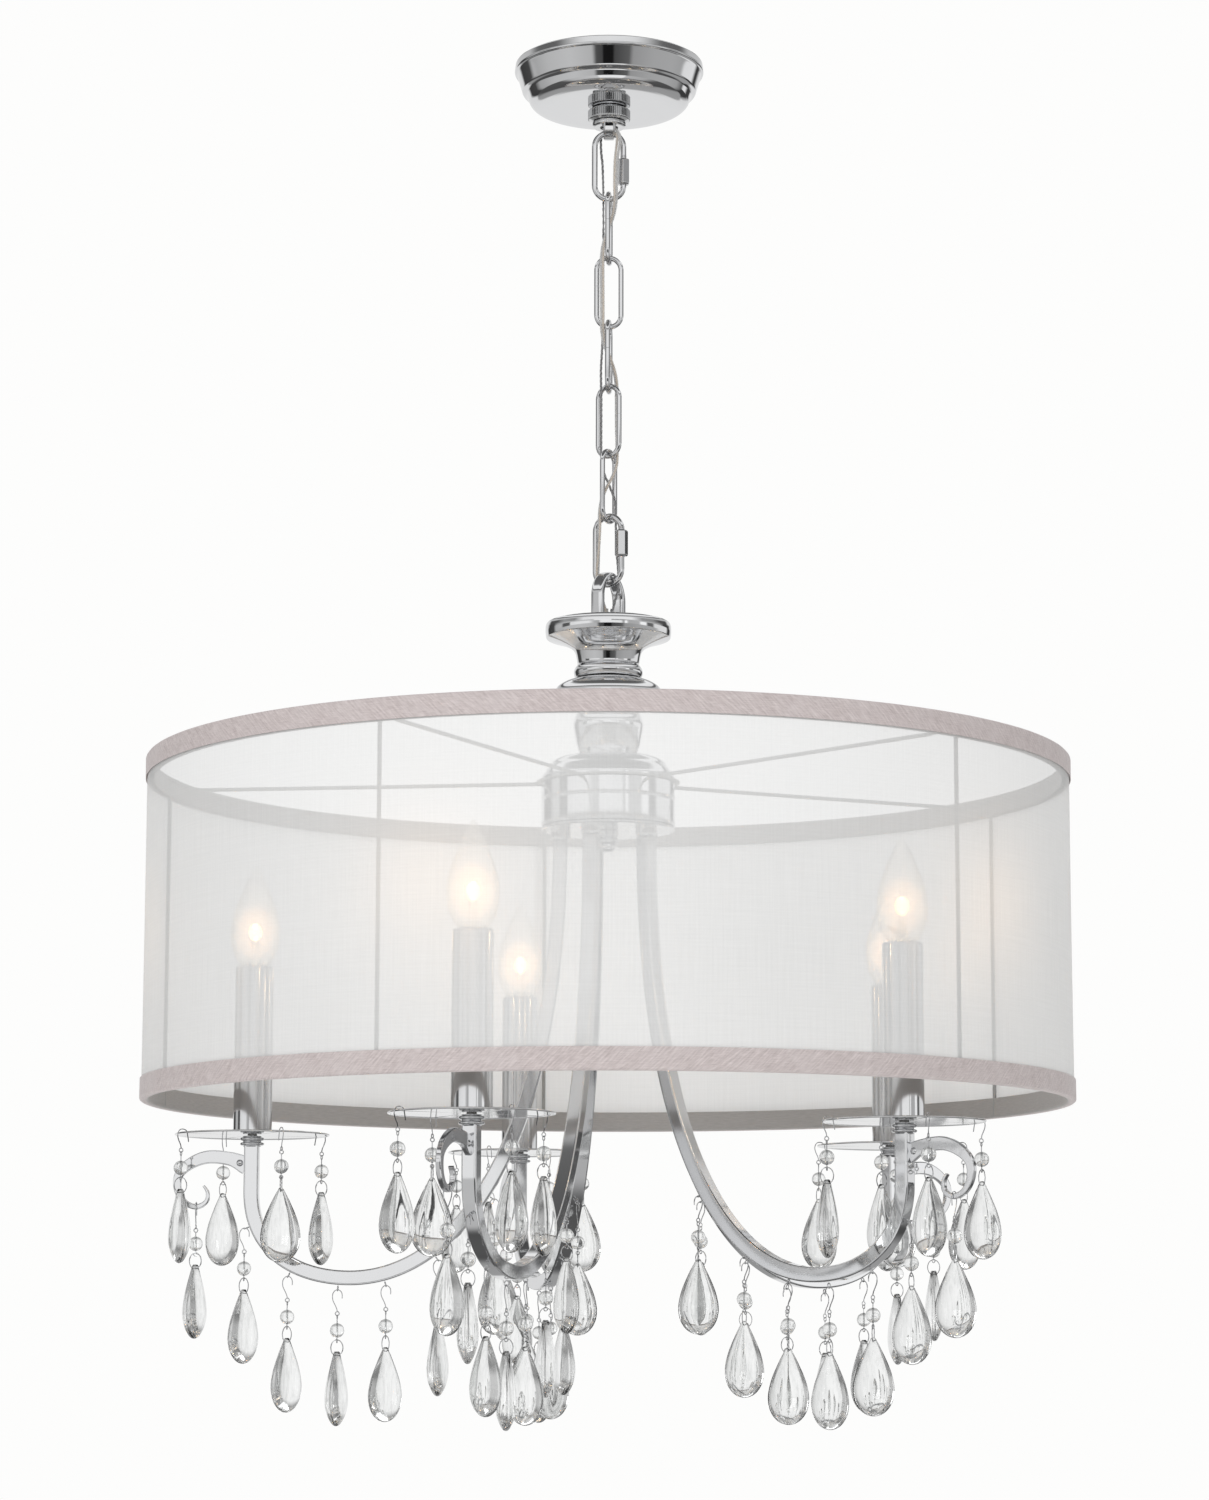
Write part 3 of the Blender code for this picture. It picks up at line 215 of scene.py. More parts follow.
world = bpy.data.worlds.new("studio")
world.use_nodes = True
scene.world = world
sky = Recipe(world.node_tree)
direction = sky.node("ShaderNodeTexCoord", {}, output="Generated")
sideways = sky.node("ShaderNodeSeparateXYZ", {}, direction)
forward = sideways.part("Y")
upward = sideways.part("Z")
bearing = sky.node("ShaderNodeMath", {"operation": "ARCTAN2"}, sideways, forward * -1.0) / math.tau + 0.5
rise = upward * 0.5 + 0.5


def greys(along, *stops):
    """A ramp in plain grey; each stop is (place, brightness)."""
    coloured = tuple((place, (value, value, value)) for place, value in stops)
    return sky.node("ShaderNodeValToRGB", {"stops": coloured}, along)


cards = greys(
    bearing, (0.0, 0.84), (0.09, 0.82), (0.11, 0.05), (0.17, 0.07), (0.19, 0.5), (0.235, 0.56),
    (0.25, 0.1), (0.289, 0.12), (0.297, 0.84), (0.335, 0.92), (0.4, 0.95), (0.43, 0.5), (0.452, 0.46),
    (0.462, 0.98), (0.565, 0.98), (0.575, 0.45), (0.581, 0.52), (0.585, 1.15), (0.593, 1.15), (0.598, 0.66),
    (0.605, 0.48), (0.66, 0.52), (0.672, 1.1), (0.7, 1.1), (0.712, 0.14), (0.745, 0.16), (0.76, 0.84),
    (0.865, 0.88), (0.885, 0.05), (0.915, 0.05), (0.935, 0.82), (1.0, 0.84),
)
lower_cards = greys(
    bearing, (0.0, 0.84), (0.09, 0.8), (0.11, 0.05), (0.16, 0.06), (0.19, 0.42), (0.27, 0.56), (0.36, 0.62),
    (0.44, 0.54), (0.454, 0.09), (0.476, 0.07), (0.48, 0.01), (0.514, 0.01), (0.518, 0.07), (0.57, 0.13),
    (0.585, 0.36), (0.66, 0.44), (0.74, 0.46), (0.8, 0.4), (0.84, 0.05), (0.9, 0.05), (0.93, 0.8),
    (1.0, 0.84),
)
upper_cards = greys(
    bearing, (0.0, 0.84), (0.09, 0.8), (0.12, 0.05), (0.17, 0.07), (0.2, 0.4), (0.27, 0.55), (0.36, 0.6),
    (0.42, 0.52), (0.432, 1.0), (0.512, 1.0), (0.518, 0.34), (0.58, 0.3), (0.59, 0.46), (0.66, 0.56),
    (0.74, 0.5), (0.8, 0.4), (0.84, 0.06), (0.9, 0.05), (0.93, 0.8), (1.0, 0.84),
)
top_cards = greys(
    bearing, (0.0, 0.84), (0.1, 0.8), (0.13, 0.08), (0.2, 0.1), (0.25, 0.36), (0.32, 0.3), (0.37, 0.92),
    (0.62, 1.0), (0.68, 0.34), (0.75, 0.32), (0.8, 0.1), (0.87, 0.08), (0.9, 0.8), (1.0, 0.84),
)
low = sky.rising(rise, 0.5, 0.485)
high = sky.rising(rise, 0.574, 0.584)
highest = sky.rising(rise, 0.598, 0.612)
level = sky.tint(high, sky.tint(low, cards, lower_cards), sky.tint(highest, upper_cards, top_cards))
above_below = greys(
    rise, (0.0, 0.12), (0.1, 0.08), (0.17, 0.1), (0.22, 0.34), (0.28, 0.42), (0.3, 0.6), (0.66, 0.66),
    (0.72, 0.56), (0.732, 0.14), (0.755, 0.14), (0.77, 0.92), (0.84, 1.0), (0.88, 0.16), (1.0, 0.1),
)
beyond = greys(rise, (0.0, 1.0), (0.28, 1.0), (0.3, 0.0), (0.66, 0.0), (0.69, 1.0), (1.0, 1.0))
beyond = sky.node("ShaderNodeRGBToBW", {}, beyond)
front_floor = greys(
    bearing, (0.0, 0.38), (0.08, 0.34), (0.12, 0.08), (0.28, 0.1), (0.33, 0.54), (0.45, 0.66),
    (0.456, 1.0), (0.566, 1.0), (0.572, 0.54), (0.66, 0.46), (0.72, 0.1), (0.84, 0.08), (0.87, 0.36),
    (1.0, 0.38),
)
floor_edge = 0.4
near_floor = sky.rising(rise, 0.06, 0.12)
near_floor = near_floor * sky.node("ShaderNodeMath", {"operation": "LESS_THAN"}, rise, floor_edge)
above_below = sky.tint(near_floor, above_below, front_floor)
surround = sky.tint(beyond, level, above_below)
glass_sides = greys(
    bearing, (0.0, 0.97), (0.07, 1.0), (0.13, 0.94), (0.17, 0.74), (0.21, 0.58), (0.26, 0.55), (0.3, 0.72),
    (0.4, 0.9), (0.5, 0.84), (0.6, 0.86), (0.68, 0.66), (0.72, 0.4), (0.79, 0.42), (0.83, 0.64),
    (0.9, 0.82), (1.0, 0.97),
)
glass_heights = greys(rise, (0.0, 0.55), (0.2, 0.45), (0.32, 1.0), (0.68, 1.0), (0.8, 0.42), (1.0, 0.65))
glass_view = sky.tint(1.0, glass_sides, glass_heights, "MULTIPLY")
plain_light = (0.52, 0.52, 0.52)
white_behind = (0.982, 0.982, 0.976)
ray = sky.node("ShaderNodeLightPath", {})
shown = sky.tint(ray.part("Is Glossy Ray"), plain_light, surround)
shown = sky.tint(ray.part("Is Transmission Ray"), shown, glass_view)
shown = sky.tint(ray.part("Is Camera Ray"), shown, white_behind)
backdrop = sky.node("ShaderNodeBackground", {}, shown, 1.0)
sky.node("ShaderNodeOutputWorld", {}, backdrop)


def soft_box(name, place, target, width, height, power):
    """A soft area lamp turned to a target."""
    data = bpy.data.lights.new(name, "AREA")
    data.shape = "RECTANGLE"
    data.size = width
    data.size_y = height
    data.energy = power
    lamp = placed(name, data)
    lamp.location = place
    lamp.rotation_euler = (Vector(target) - Vector(place)).to_track_quat("-Z", "Y").to_euler()
    lamp.visible_glossy = False


middle = (0, 0, -0.5)
soft_box("soft_box_left", (-1.5, -2.9, 0.5), middle, 1.4, 2.2, 28)
soft_box("soft_box_right", (1.1, -3.0, 0.1), middle, 1.4, 2.2, 12)
soft_box("soft_box_top", (0.3, 0.2, 2.2), middle, 2.4, 2.4, 17)

floor_half = 7
floor_height = -2.3
floor_corners = [
    (x * floor_half, y * floor_half, floor_height) for x, y in ((-1, -1), (1, -1), (1, 1), (-1, 1))
]
floor_mesh = bpy.data.meshes.new("floor")
floor_mesh.from_pydata(floor_corners, [], [(0, 1, 2, 3)])
floor = placed("floor", floor_mesh)
floor_paint, recipe = finish("pale_floor", Roughness=0.7, Emission_Strength=0.3)
coat(recipe, "Emission_Color", (1.0, 1.0, 0.99))
cloudy = recipe.noise(recipe.place(), 1.5)
coat(recipe, "Base_Color", recipe.tint(cloudy, (0.9, 0.9, 0.895), (0.93, 0.93, 0.925)))
in_chrome = recipe.node("ShaderNodeLightPath", {}, output="Is Glossy Ray")
clear = recipe.node("ShaderNodeBsdfTransparent", {})
pale = Amount(recipe, recipe.shader.outputs[0])
painted = recipe.node("ShaderNodeMixShader", {}, in_chrome, pale, clear)
recipe.tree.links.new(painted.socket, recipe.tree.nodes["Material Output"].inputs[0])
floor_mesh.materials.append(floor_paint)

# Canopy: a dish spun from brass sheet and chromed, with a rolled rim against the ceiling and two fine
# steps near its flat bottom. The collar ring under it clamps it to the ceiling.


def eased(points):
    """An outline with its corners rounded: each point is (radius, height, size of the rounding). A row
    close beyond each rounding keeps the shading of the flats flat."""
    longest = 0.45
    beyond_it = 1.08
    places = [Vector(point[:2]) for point in points]
    result = [places[0]]
    for index in range(1, len(places) - 1):
        before, corner, after = places[index - 1:index + 2]
        size = points[index][2] if len(points[index]) > 2 else 1.0
        start = (before - corner).normalized() * min(size, (before - corner).length * longest)
        end = (after - corner).normalized() * min(size, (after - corner).length * longest)
        steps = 4 if size < 0.001 else 6
        result.append(corner + start * beyond_it)
        for step in range(steps + 1):
            share = step / steps
            result.append(corner + start * (1 - share) ** 2 + end * share ** 2)
        result.append(corner + end * beyond_it)
    result.append(places[-1])
    return result


def outwards(mesh, merge=False):
    """Turns a closed mesh's faces outwards, its doubles merged first where that is asked."""
    work = bmesh.new()
    work.from_mesh(mesh)
    if merge:
        bmesh.ops.remove_doubles(work, verts=work.verts, dist=1e-6)
    bmesh.ops.recalc_face_normals(work, faces=work.faces)
    work.to_mesh(mesh)
    work.free()


def dressed(name, mesh, material, crease=32):
    """A mesh as an object in the scene, with its material and its shading."""
    mesh.name = name
    mesh.shade_smooth()
    mesh.set_sharp_from_angle(angle=math.radians(crease))
    mesh.materials.clear()
    mesh.materials.append(material)
    return placed(name, mesh)


def solid(name, corners, faces, material):
    """A new mesh object at the origin, its doubles merged and its faces turned outwards."""
    mesh = bpy.data.meshes.new(name)
    mesh.from_pydata([tuple(corner) for corner in corners], [], faces)
    outwards(mesh, merge=True)
    return dressed(name, mesh, material)


def spun(name, outline, material, centre=(0, 0, 0), sides=96, closed=False, ripple=None, start=0.0):
    """A round piece: an outline of (radius, height) turned about a vertical axis at its centre."""
    rows = [(max(place[0], 0.0), place[1]) for place in outline]
    corners = []
    rings = []
    for index, (radius, height) in enumerate(rows):
        ring = []
        for side in range(sides if radius > 1e-6 else 1):
            angle = start + math.tau * side / sides
            reach = radius + (ripple(index, side) if ripple else 0.0)
            ring.append(len(corners))
            x, y = reach * math.cos(angle), reach * math.sin(angle)
            corners.append((centre[0] + x, centre[1] + y, centre[2] + height))
        rings.append(ring)
    pairs = list(zip(rings, rings[1:]))
    if closed:
        pairs.append((rings[-1], rings[0]))
    faces = []
    for upper, lower in pairs:
        for side in range(sides):
            other = (side + 1) % sides
            if len(upper) == 1 and len(lower) == 1:
                continue
            if len(upper) == 1:
                faces.append((upper[0], lower[side], lower[other]))
            elif len(lower) == 1:
                faces.append((upper[side], lower[0], upper[other]))
            else:
                faces.append((upper[side], lower[side], lower[other], upper[other]))
    return solid(name, corners, faces, material)


def chrome_plate(name, colour=(0.8, 0.805, 0.815), rough=0.045, wear=0.05):
    """Bright chrome: hardly any grain, faint hazy wiping marks, and a little dullness in patches."""
    material, recipe = finish(name, Metallic=1.0)
    place = recipe.place()
    wiped = recipe.noise(recipe.stretched(place, 1.0, 1.0, 0.25), 46.0, 4.0, 0.62)
    grain = recipe.noise(place, 1900.0, 2.0, 0.6)
    coat(recipe, "Roughness", rough + (wiped ** 3.0) * wear + grain * 0.012)
    darker = tuple(value * 0.94 for value in colour)
    coat(recipe, "Base_Color", recipe.tint(recipe.noise(place, 21.0, 3.0), darker, colour))
    coat(recipe, "Normal", recipe.raised(recipe.noise(place, 60.0, 1.0), 0.00003, 0.5))
    return material


def stands_for(piece, node, body):
    """The piece replaces a CAD node, which is hidden, and rides on a body."""
    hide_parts(node)
    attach(piece, body)


chrome = chrome_plate("polished_chrome")
canopy_outline = [
    (0.0628, -0.0002), (0.0638, -0.0002, 0.0006), (0.0645, -0.006, 0.0012), (0.0628, -0.0068, 0.0006),
    (0.0617, -0.0104, 0.005), (0.0591, -0.0193, 0.001), (0.057, -0.0204, 0.0005),
    (0.056, -0.0213, 0.0005), (0.054, -0.0268, 0.002), (0.05, -0.0298, 0.0035),
    (0.042, -0.0305, 0.003), (0.0054, -0.0305), (0.0054, -0.0295), (0.042, -0.0295, 0.003),
    (0.049, -0.0288, 0.003), (0.053, -0.0262, 0.002),
    (0.055, -0.0208, 0.0006), (0.0578, -0.0188, 0.004), (0.0608, -0.0118, 0.004), (0.0633, -0.006, 0.002),
]
canopy = spun("spun_canopy", eased(canopy_outline), chrome, closed=True, sides=128)
stands_for(canopy, "canopy", "ceiling")

# Crossbar and its two screws: zinc plated steel, stamped and screwed to the ceiling box, with dull
# crystals in the plating. The loop's hollow stem screws into the bar.
zinc, recipe = finish("zinc_plate", Metallic=1.0)
spangle = recipe.node("ShaderNodeTexVoronoi", {}, recipe.place(), None, 420.0, output="Color")
spangle = recipe.node("ShaderNodeRGBToBW", {}, spangle)
coat(recipe, "Base_Color", recipe.tint(spangle, (0.52, 0.53, 0.54), (0.68, 0.69, 0.7)))
coat(recipe, "Roughness", 0.32 + spangle * 0.16)
coat(recipe, "Normal", recipe.raised(recipe.noise(recipe.place(), 900.0), 0.00004, 0.6))
for name in ("crossbar", "crossbar_screw_1", "crossbar_screw_2", "centre_pipe"):
    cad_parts[name].material_slots[0].material = zinc

# Collar ring: a turned brass nut with a straight knurl between two bright chamfers, chromed, screwed up
# the stem to hold the canopy. A fine undercut parts it from the canopy.
collar_top = -0.0308
collar_under = -0.04
knurl_depth = 0.00045
knurl_from = 0.01395
collar_outline = eased([
    (0.0054, collar_top), (0.0118, collar_top, 0.0002), (0.0122, collar_top - 0.0009, 0.0002),
    (0.0136, collar_top - 0.0012, 0.0003), (0.0141, collar_top - 0.0018, 0.0002),
    (0.0141, collar_under + 0.0018, 0.0002), (0.0136, collar_under + 0.001, 0.0003),
    (0.0118, collar_under, 0.0004), (0.0054, collar_under),
])


def knurl(index, side):
    """Straight teeth round the widest rows of the ring only, one crest to two roots."""
    if collar_outline[index][0] <= knurl_from:
        return 0.0
    return knurl_depth * (0.6 if side % 3 == 0 else -0.5)


collar_chrome = chrome_plate("knurled_chrome", (0.74, 0.745, 0.75), 0.09)
collar = spun("knurled_collar", collar_outline, collar_chrome, closed=True, sides=174, ripple=knurl)
stands_for(collar, "collar_ring", "collar")

# Ceiling loop: a die-cast loop in one piece with its round base and hollow threaded stem, chromed. The
# cords leave the stem inside the loop, where its mouth is rounded off.
loop_chrome = chrome_plate("cast_chrome", (0.78, 0.785, 0.79), 0.07, 0.08)
base_top = -0.0403
base_under = -0.044
stem = spun("loop_stem", eased([
    (0.0036, -0.0004), (0.0048, -0.0004, 0.0003), (0.0048, base_top, 0.0003), (0.011, base_top, 0.0004),
    (0.0115, base_top - 0.0008, 0.0005), (0.0115, base_under + 0.001, 0.0006), (0.0104, base_under, 0.0006),
    (0.0062, base_under, 0.0005), (0.0036, base_top, 0.0008),
]), loop_chrome, closed=True)


def about_z(turn):
    """A turn about the upright axis, given in degrees."""
    return Matrix.Rotation(math.radians(turn), 4, "Z")


def skin(rows, size, closed=False, mark=None):
    """The faces over rows of points, each row a ring, and the UV mark of each corner of each face, which
    mark(row, side) gives. A closed skin joins its last row to its first."""
    faces = []
    marks = []
    for row in range(rows if closed else rows - 1):
        for side in range(size):
            spots = ((row, side), (row, side + 1), (row + 1, side + 1), (row + 1, side))
            faces.append(tuple(down % rows * size + across % size for down, across in spots))
            if mark:
                marks += [mark(down, across) for down, across in spots]
    return faces, marks


def ends(rows, size):
    """The two flat faces that close a skin at its first and its last row."""
    return [tuple(range(size)), tuple(range((rows - 1) * size, rows * size))]


def swept(name, path, section, material, turn=0.0, centre=(0, 0, 0)):
    """A bar bent in an upright plane. The path is (across, height); section(index) gives its outline as
    (out of the bend, sideways); the plane is turned about Z and moved to its centre."""
    places = [Vector(place) for place in path]
    count = len(places)
    spin = Matrix.Translation(centre) @ about_z(turn)
    corners = []
    for index, place in enumerate(places):
        along = (places[min(index + 1, count - 1)] - places[max(index - 1, 0)]).normalized()
        out = Vector((along.y, -along.x))
        for outward, aside in section(index):
            spot = place + out * outward
            corners.append(spin @ Vector((spot.x, aside, spot.y)))
    size = len(section(0))
    return solid(name, corners, skin(count, size)[0] + ends(count, size), material)


def rounded_bar(width, depth, corner, steps=3):
    """The outline of a bar with rounded corners, as (out, sideways)."""
    outline = []
    beyond = 0.1
    for quarter, (side_x, side_y) in enumerate(((1, 1), (-1, 1), (-1, -1), (1, -1))):
        for step in range(-1, steps + 2):
            turned = min(max(step, 0), steps)
            angle = math.radians(90 * quarter + 90 * turned / steps)
            beyond_it = (step - turned) * beyond
            outline.append((
                side_x * (width / 2 - corner) + corner * (math.cos(angle) - beyond_it * math.sin(angle)),
                side_y * (depth / 2 - corner) + corner * (math.sin(angle) + beyond_it * math.cos(angle)),
            ))
    return outline


def arch(half_width, height, feet, drop=1):
    """A path up one leg, round a half circle and down the other, or upside down for a drop of -1."""
    path = [(half_width, feet)]
    crown = feet + drop * (height - half_width)
    steps = 32
    for step in range(steps + 1):
        angle = math.pi * step / steps
        path.append((half_width * math.cos(angle), crown + drop * half_width * math.sin(angle)))
    path.append((-half_width, feet))
    return path


strap = rounded_bar(0.004, 0.0076, 0.0012)
ceiling_strap = swept(
    "ceiling_strap", arch(0.00875, 0.0085, base_under + 0.0018, -1)[1:-1], lambda index: strap,
    loop_chrome, turn=90, centre=(0, 0, 0.0002),
)


def merged(name, pieces):
    """Several pieces of one real part as one object, each keeping its material."""
    slots = []
    work = bmesh.new()
    for piece in pieces:
        first = len(work.faces)
        work.from_mesh(piece.data)
        work.faces.ensure_lookup_table()
        material = piece.data.materials[0]
        if material not in slots:
            slots.append(material)
        for face in work.faces[first:]:
            face.material_index = slots.index(material)
    mesh = bpy.data.meshes.new(name)
    work.to_mesh(mesh)
    work.free()
    for piece in pieces:
        bpy.data.objects.remove(piece, do_unlink=True)
    for material in slots:
        mesh.materials.append(material)
    return placed(name, mesh)


ceiling_loop = merged("cast_ceiling_loop", [stem, ceiling_strap])
stands_for(ceiling_loop, "ceiling_loop", "ceiling")

# Chain: two quick links with five plain links between them, each bent cold from chromed steel wire. The
# plain links close with a butt seam in one leg, and a quick link is closed by its threaded sleeve.


class Pattern(Recipe):
    """A Geometry Nodes tree with named inputs, for what repeats or follows a path."""

    def __init__(self, name, inputs):
        super().__init__(bpy.data.node_groups.new(name, "GeometryNodeTree"))
        self.tree.is_modifier = True
        self.tree.interface.new_socket("Guide", in_out="INPUT", socket_type="NodeSocketGeometry")
        self.sockets = {}
        for label, kind in inputs.items():
            self.sockets[label] = self.tree.interface.new_socket(label, in_out="INPUT", socket_type=kind)
        self.tree.interface.new_socket("Made", in_out="OUTPUT", socket_type="NodeSocketGeometry")
        self.given = self.tree.nodes.new("NodeGroupInput")

    def take(self, label):
        return Amount(self, self.given.outputs[label])

    def link(self, kind, settings, named, output=0):
        """A node whose sockets are given by their names."""
        made = self.node(kind, settings, output=output)
        for label, value in named.items():
            self.feed(made.socket.node.inputs[label], value)
        return made

    def end(self, geometry):
        """Instances made real and given their finish."""
        real = self.link("GeometryNodeRealizeInstances", {}, {"Geometry": geometry})
        finished = self.link("GeometryNodeSetMaterial", {}, {
            "Geometry": real, "Material": self.take("Finish"),
        })
        self.tree.links.new(finished.socket, self.tree.nodes.new("NodeGroupOutput").inputs[0])


def grown(pattern, name, guide, crease=80, **values):
    """The plain mesh that a pattern makes on a guide, as an object without the modifier."""
    holder = placed(name + "_guide", guide)
    modifier = holder.modifiers.new("pattern", "NODES")
    modifier.node_group = pattern.tree
    for label, value in values.items():
        modifier[pattern.sockets[label].identifier] = value
    graph = bpy.context.evaluated_depsgraph_get()
    mesh = bpy.data.meshes.new_from_object(holder.evaluated_get(graph))
    bpy.data.objects.remove(holder, do_unlink=True)
    return dressed(name, mesh, values["Finish"], crease)


drawn_wire = Pattern("drawn_wire", {
    "Radius": "NodeSocketFloat", "Sides": "NodeSocketInt", "Finish": "NodeSocketMaterial",
})
wire_line = drawn_wire.link("GeometryNodeMeshToCurve", {}, {"Mesh": drawn_wire.take("Guide")})
wire_round = drawn_wire.link("GeometryNodeCurvePrimitiveCircle", {}, {
    "Resolution": drawn_wire.take("Sides"), "Radius": drawn_wire.take("Radius"),
})
drawn_wire.end(drawn_wire.link("GeometryNodeCurveToMesh", {}, {
    "Curve": wire_line, "Profile Curve": wire_round, "Fill Caps": True,
}))


def drawn(name, paths, radius, material, sides=12):
    """Round wires along paths of points; a path whose ends meet is closed."""
    corners = []
    edges = []
    for path in paths:
        points = [Vector(point) for point in path]
        first = len(corners)
        closed = (points[0] - points[-1]).length < 1e-7
        if closed:
            points.pop()
        corners += points
        edges += [(first + step, first + step + 1) for step in range(len(points) - 1)]
        if closed:
            edges.append((len(corners) - 1, first))
    guide = bpy.data.meshes.new(name)
    guide.from_pydata(corners, edges, [])
    return grown(drawn_wire, name, guide, Radius=radius, Sides=sides, Finish=material)


link_chrome = chrome_plate("link_chrome", (0.77, 0.775, 0.785), 0.06, 0.08)
sleeve_chrome = chrome_plate("link_sleeve_chrome", (0.7, 0.705, 0.715), 0.1, 0.08)
link_pivots = (-0.05183, -0.09483, -0.13938, -0.18415, -0.22892, -0.27351, -0.31838, -0.36091)
plain_links = range(1, 6)
link_names = ["quick_link_upper", *(f"chain_link_{number}" for number in plain_links), "quick_link_lower"]
link_bodies = ["link_upper", *(f"link_{number}" for number in plain_links), "link_lower"]
link_turns = (2, 84, 5, 84, 148, 60, 152)
chain_wide = 0.02
chain_wire = 0.0035
butt_gap = 0.00022
butt_rise = 0.004
quick_wide = 0.0235
quick_wire = 0.004
quick_gap = 0.0085
thread_root = 0.0019
thread_crest = 0.00212
thread_step = 0.00045
thread_rows_between = 34
thread_foot = -0.0075
thread_head = 0.0078
thread_under_sleeve_top = 0.0052
thread_rows = [(thread_root, thread_foot)]
for step in range(thread_rows_between):
    thread_rows.append((thread_crest if step % 2 else thread_root, thread_foot + thread_step * step))
thread_rows.append((thread_root, thread_head))


def link_line(name, width, wire, turn, gap, middle):
    """The middle line of a link, open at the gap in its left leg."""
    low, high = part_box(name)
    half = (width - wire) / 2
    line = [(-half, middle + gap / 2)]
    for crown, start in ((high.z - wire / 2 - half, math.pi), (low.z + wire / 2 + half, 0.0)):
        for step in range(25):
            angle = start - math.pi * step / 24
            line.append((half * math.cos(angle), crown + half * math.sin(angle)))
    line.append((-half, middle - gap / 2))
    across = about_z(turn) @ Vector((1, 0, 0))
    return [across * x + Vector((0, 0, z)) for x, z in line]


for name, body, turn in zip(link_names, link_bodies, link_turns):
    if name.startswith("chain"):
        low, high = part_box(name)
        line = link_line(name, chain_wide, chain_wire, turn, butt_gap, (low.z + high.z) / 2 + butt_rise)
        link = drawn(name.replace("chain", "bent"), [line], chain_wire / 2, link_chrome)
    else:
        sleeve_name = name + "_sleeve"
        sleeve_low, sleeve_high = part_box(sleeve_name)
        middle = (sleeve_low + sleeve_high) / 2
        half_long = (sleeve_high.z - sleeve_low.z) / 2
        facing = math.degrees(math.atan2(middle.y, middle.x)) + 180
        line = link_line(name, quick_wide, quick_wire, facing, quick_gap, middle.z)
        wire_piece = drawn(name.replace("link", "link_wire"), [line], quick_wire / 2, link_chrome)
        thread_place = (middle.x, middle.y, sleeve_high.z - thread_under_sleeve_top)
        thread = spun("thread", thread_rows, link_chrome, thread_place, 16)
        link = merged(name.replace("link", "link_bent"), [wire_piece, thread])
        hexagon = eased([
            (0.0024, half_long), (0.0036, half_long, 0.0003), (0.0044, half_long - 0.0009, 0.0003),
            (0.0044, -half_long + 0.0009, 0.0003), (0.0036, -half_long, 0.0003), (0.0024, -half_long),
        ])
        sleeve = spun(
            sleeve_name.replace("link", "link_nut"), hexagon, sleeve_chrome, middle, 6, closed=True,
            start=math.radians(turn + 30),
        )
        stands_for(sleeve, sleeve_name, body + "_sleeve")
    stands_for(link, name, body)

# Supply cords: a flat twin flex with a clear jacket over one tinned and one copper strand, and beside it
# a thin twisted ground wire. Both are threaded through the chain and run from the stem into the pipe.
flex_route = (
    (0.001, 0.0009, -0.0009, 45), (0.039, 0.0009, -0.001, 30), (0.0435, 0.0015, -0.0032, 0),
    (0.0503, 0.0061, -0.0036, 0), (0.055, 0.0064, -0.004, 5), (0.062, 0.0056, -0.0054, 30),
    (0.072, 0.0046, -0.0057, 40), (0.086, 0.0044, -0.0052, 42), (0.096, 0.0044, -0.0046, 44),
    (0.106, 0.003, -0.003, 65), (0.115, 0.0, -0.0016, 90), (0.124, -0.003, -0.0026, 110),
    (0.133, -0.0044, -0.0044, 130), (0.145, -0.0046, -0.0048, 135), (0.175, -0.0044, -0.005, 135),
    (0.186, -0.0044, -0.0044, 132), (0.196, -0.0028, -0.0024, 126), (0.205, 0.0004, -0.0004, 122),
    (0.214, 0.0036, 0.0012, 118), (0.223, 0.0052, 0.0022, 115), (0.234, 0.0054, 0.0024, 114),
    (0.25, 0.0054, 0.002, 110), (0.265, 0.0056, 0.0015, 105), (0.278, 0.0054, 0.0012, 104),
    (0.287, 0.0028, -0.0008, 108), (0.295, -0.0012, -0.0026, 110), (0.303, -0.0044, -0.0026, 110),
    (0.312, -0.0059, -0.0018, 107), (0.325, -0.0061, -0.0018, 107), (0.34, -0.0066, -0.0014, 85),
    (0.352, -0.0073, -0.001, 62), (0.364, -0.0072, -0.001, 62), (0.374, -0.0034, -0.0006, 75),
    (0.381, -0.0014, -0.0002, 90), (0.388, -0.001, -0.0001, 90), (0.5, -0.001, -0.0001, 90),
)
ground_route = (
    (0.001, -0.0013, 0.0013), (0.04, -0.0014, 0.0014), (0.0435, -0.0024, 0.0031),
    (0.048, -0.0044, 0.0035), (0.0505, -0.0054, 0.0036), (0.055, -0.0056, 0.0038),
    (0.062, -0.0052, 0.0044), (0.07, -0.0044, 0.0044), (0.096, -0.0038, 0.004),
    (0.133, -0.0038, 0.0038), (0.16, -0.004, 0.0036), (0.178, -0.004, 0.0038),
    (0.196, -0.0044, 0.0024), (0.212, -0.0052, -0.0004), (0.223, -0.0052, -0.002),
    (0.234, -0.005, -0.0022), (0.25, -0.005, -0.0018), (0.265, -0.005, -0.0013),
    (0.278, -0.0047, -0.0009), (0.286, -0.0026, 0.0014), (0.293, 0.0006, 0.0034),
    (0.303, 0.0042, 0.0028), (0.312, 0.0048, 0.0016), (0.325, 0.005, 0.0014),
    (0.34, 0.0056, 0.0008), (0.352, 0.0065, 0.0001), (0.364, 0.0064, 0.0001),
    (0.374, 0.004, 0.0002), (0.381, 0.0024, 0.0002), (0.388, 0.002, 0.0002),
    (0.5, 0.002, 0.0002),
)


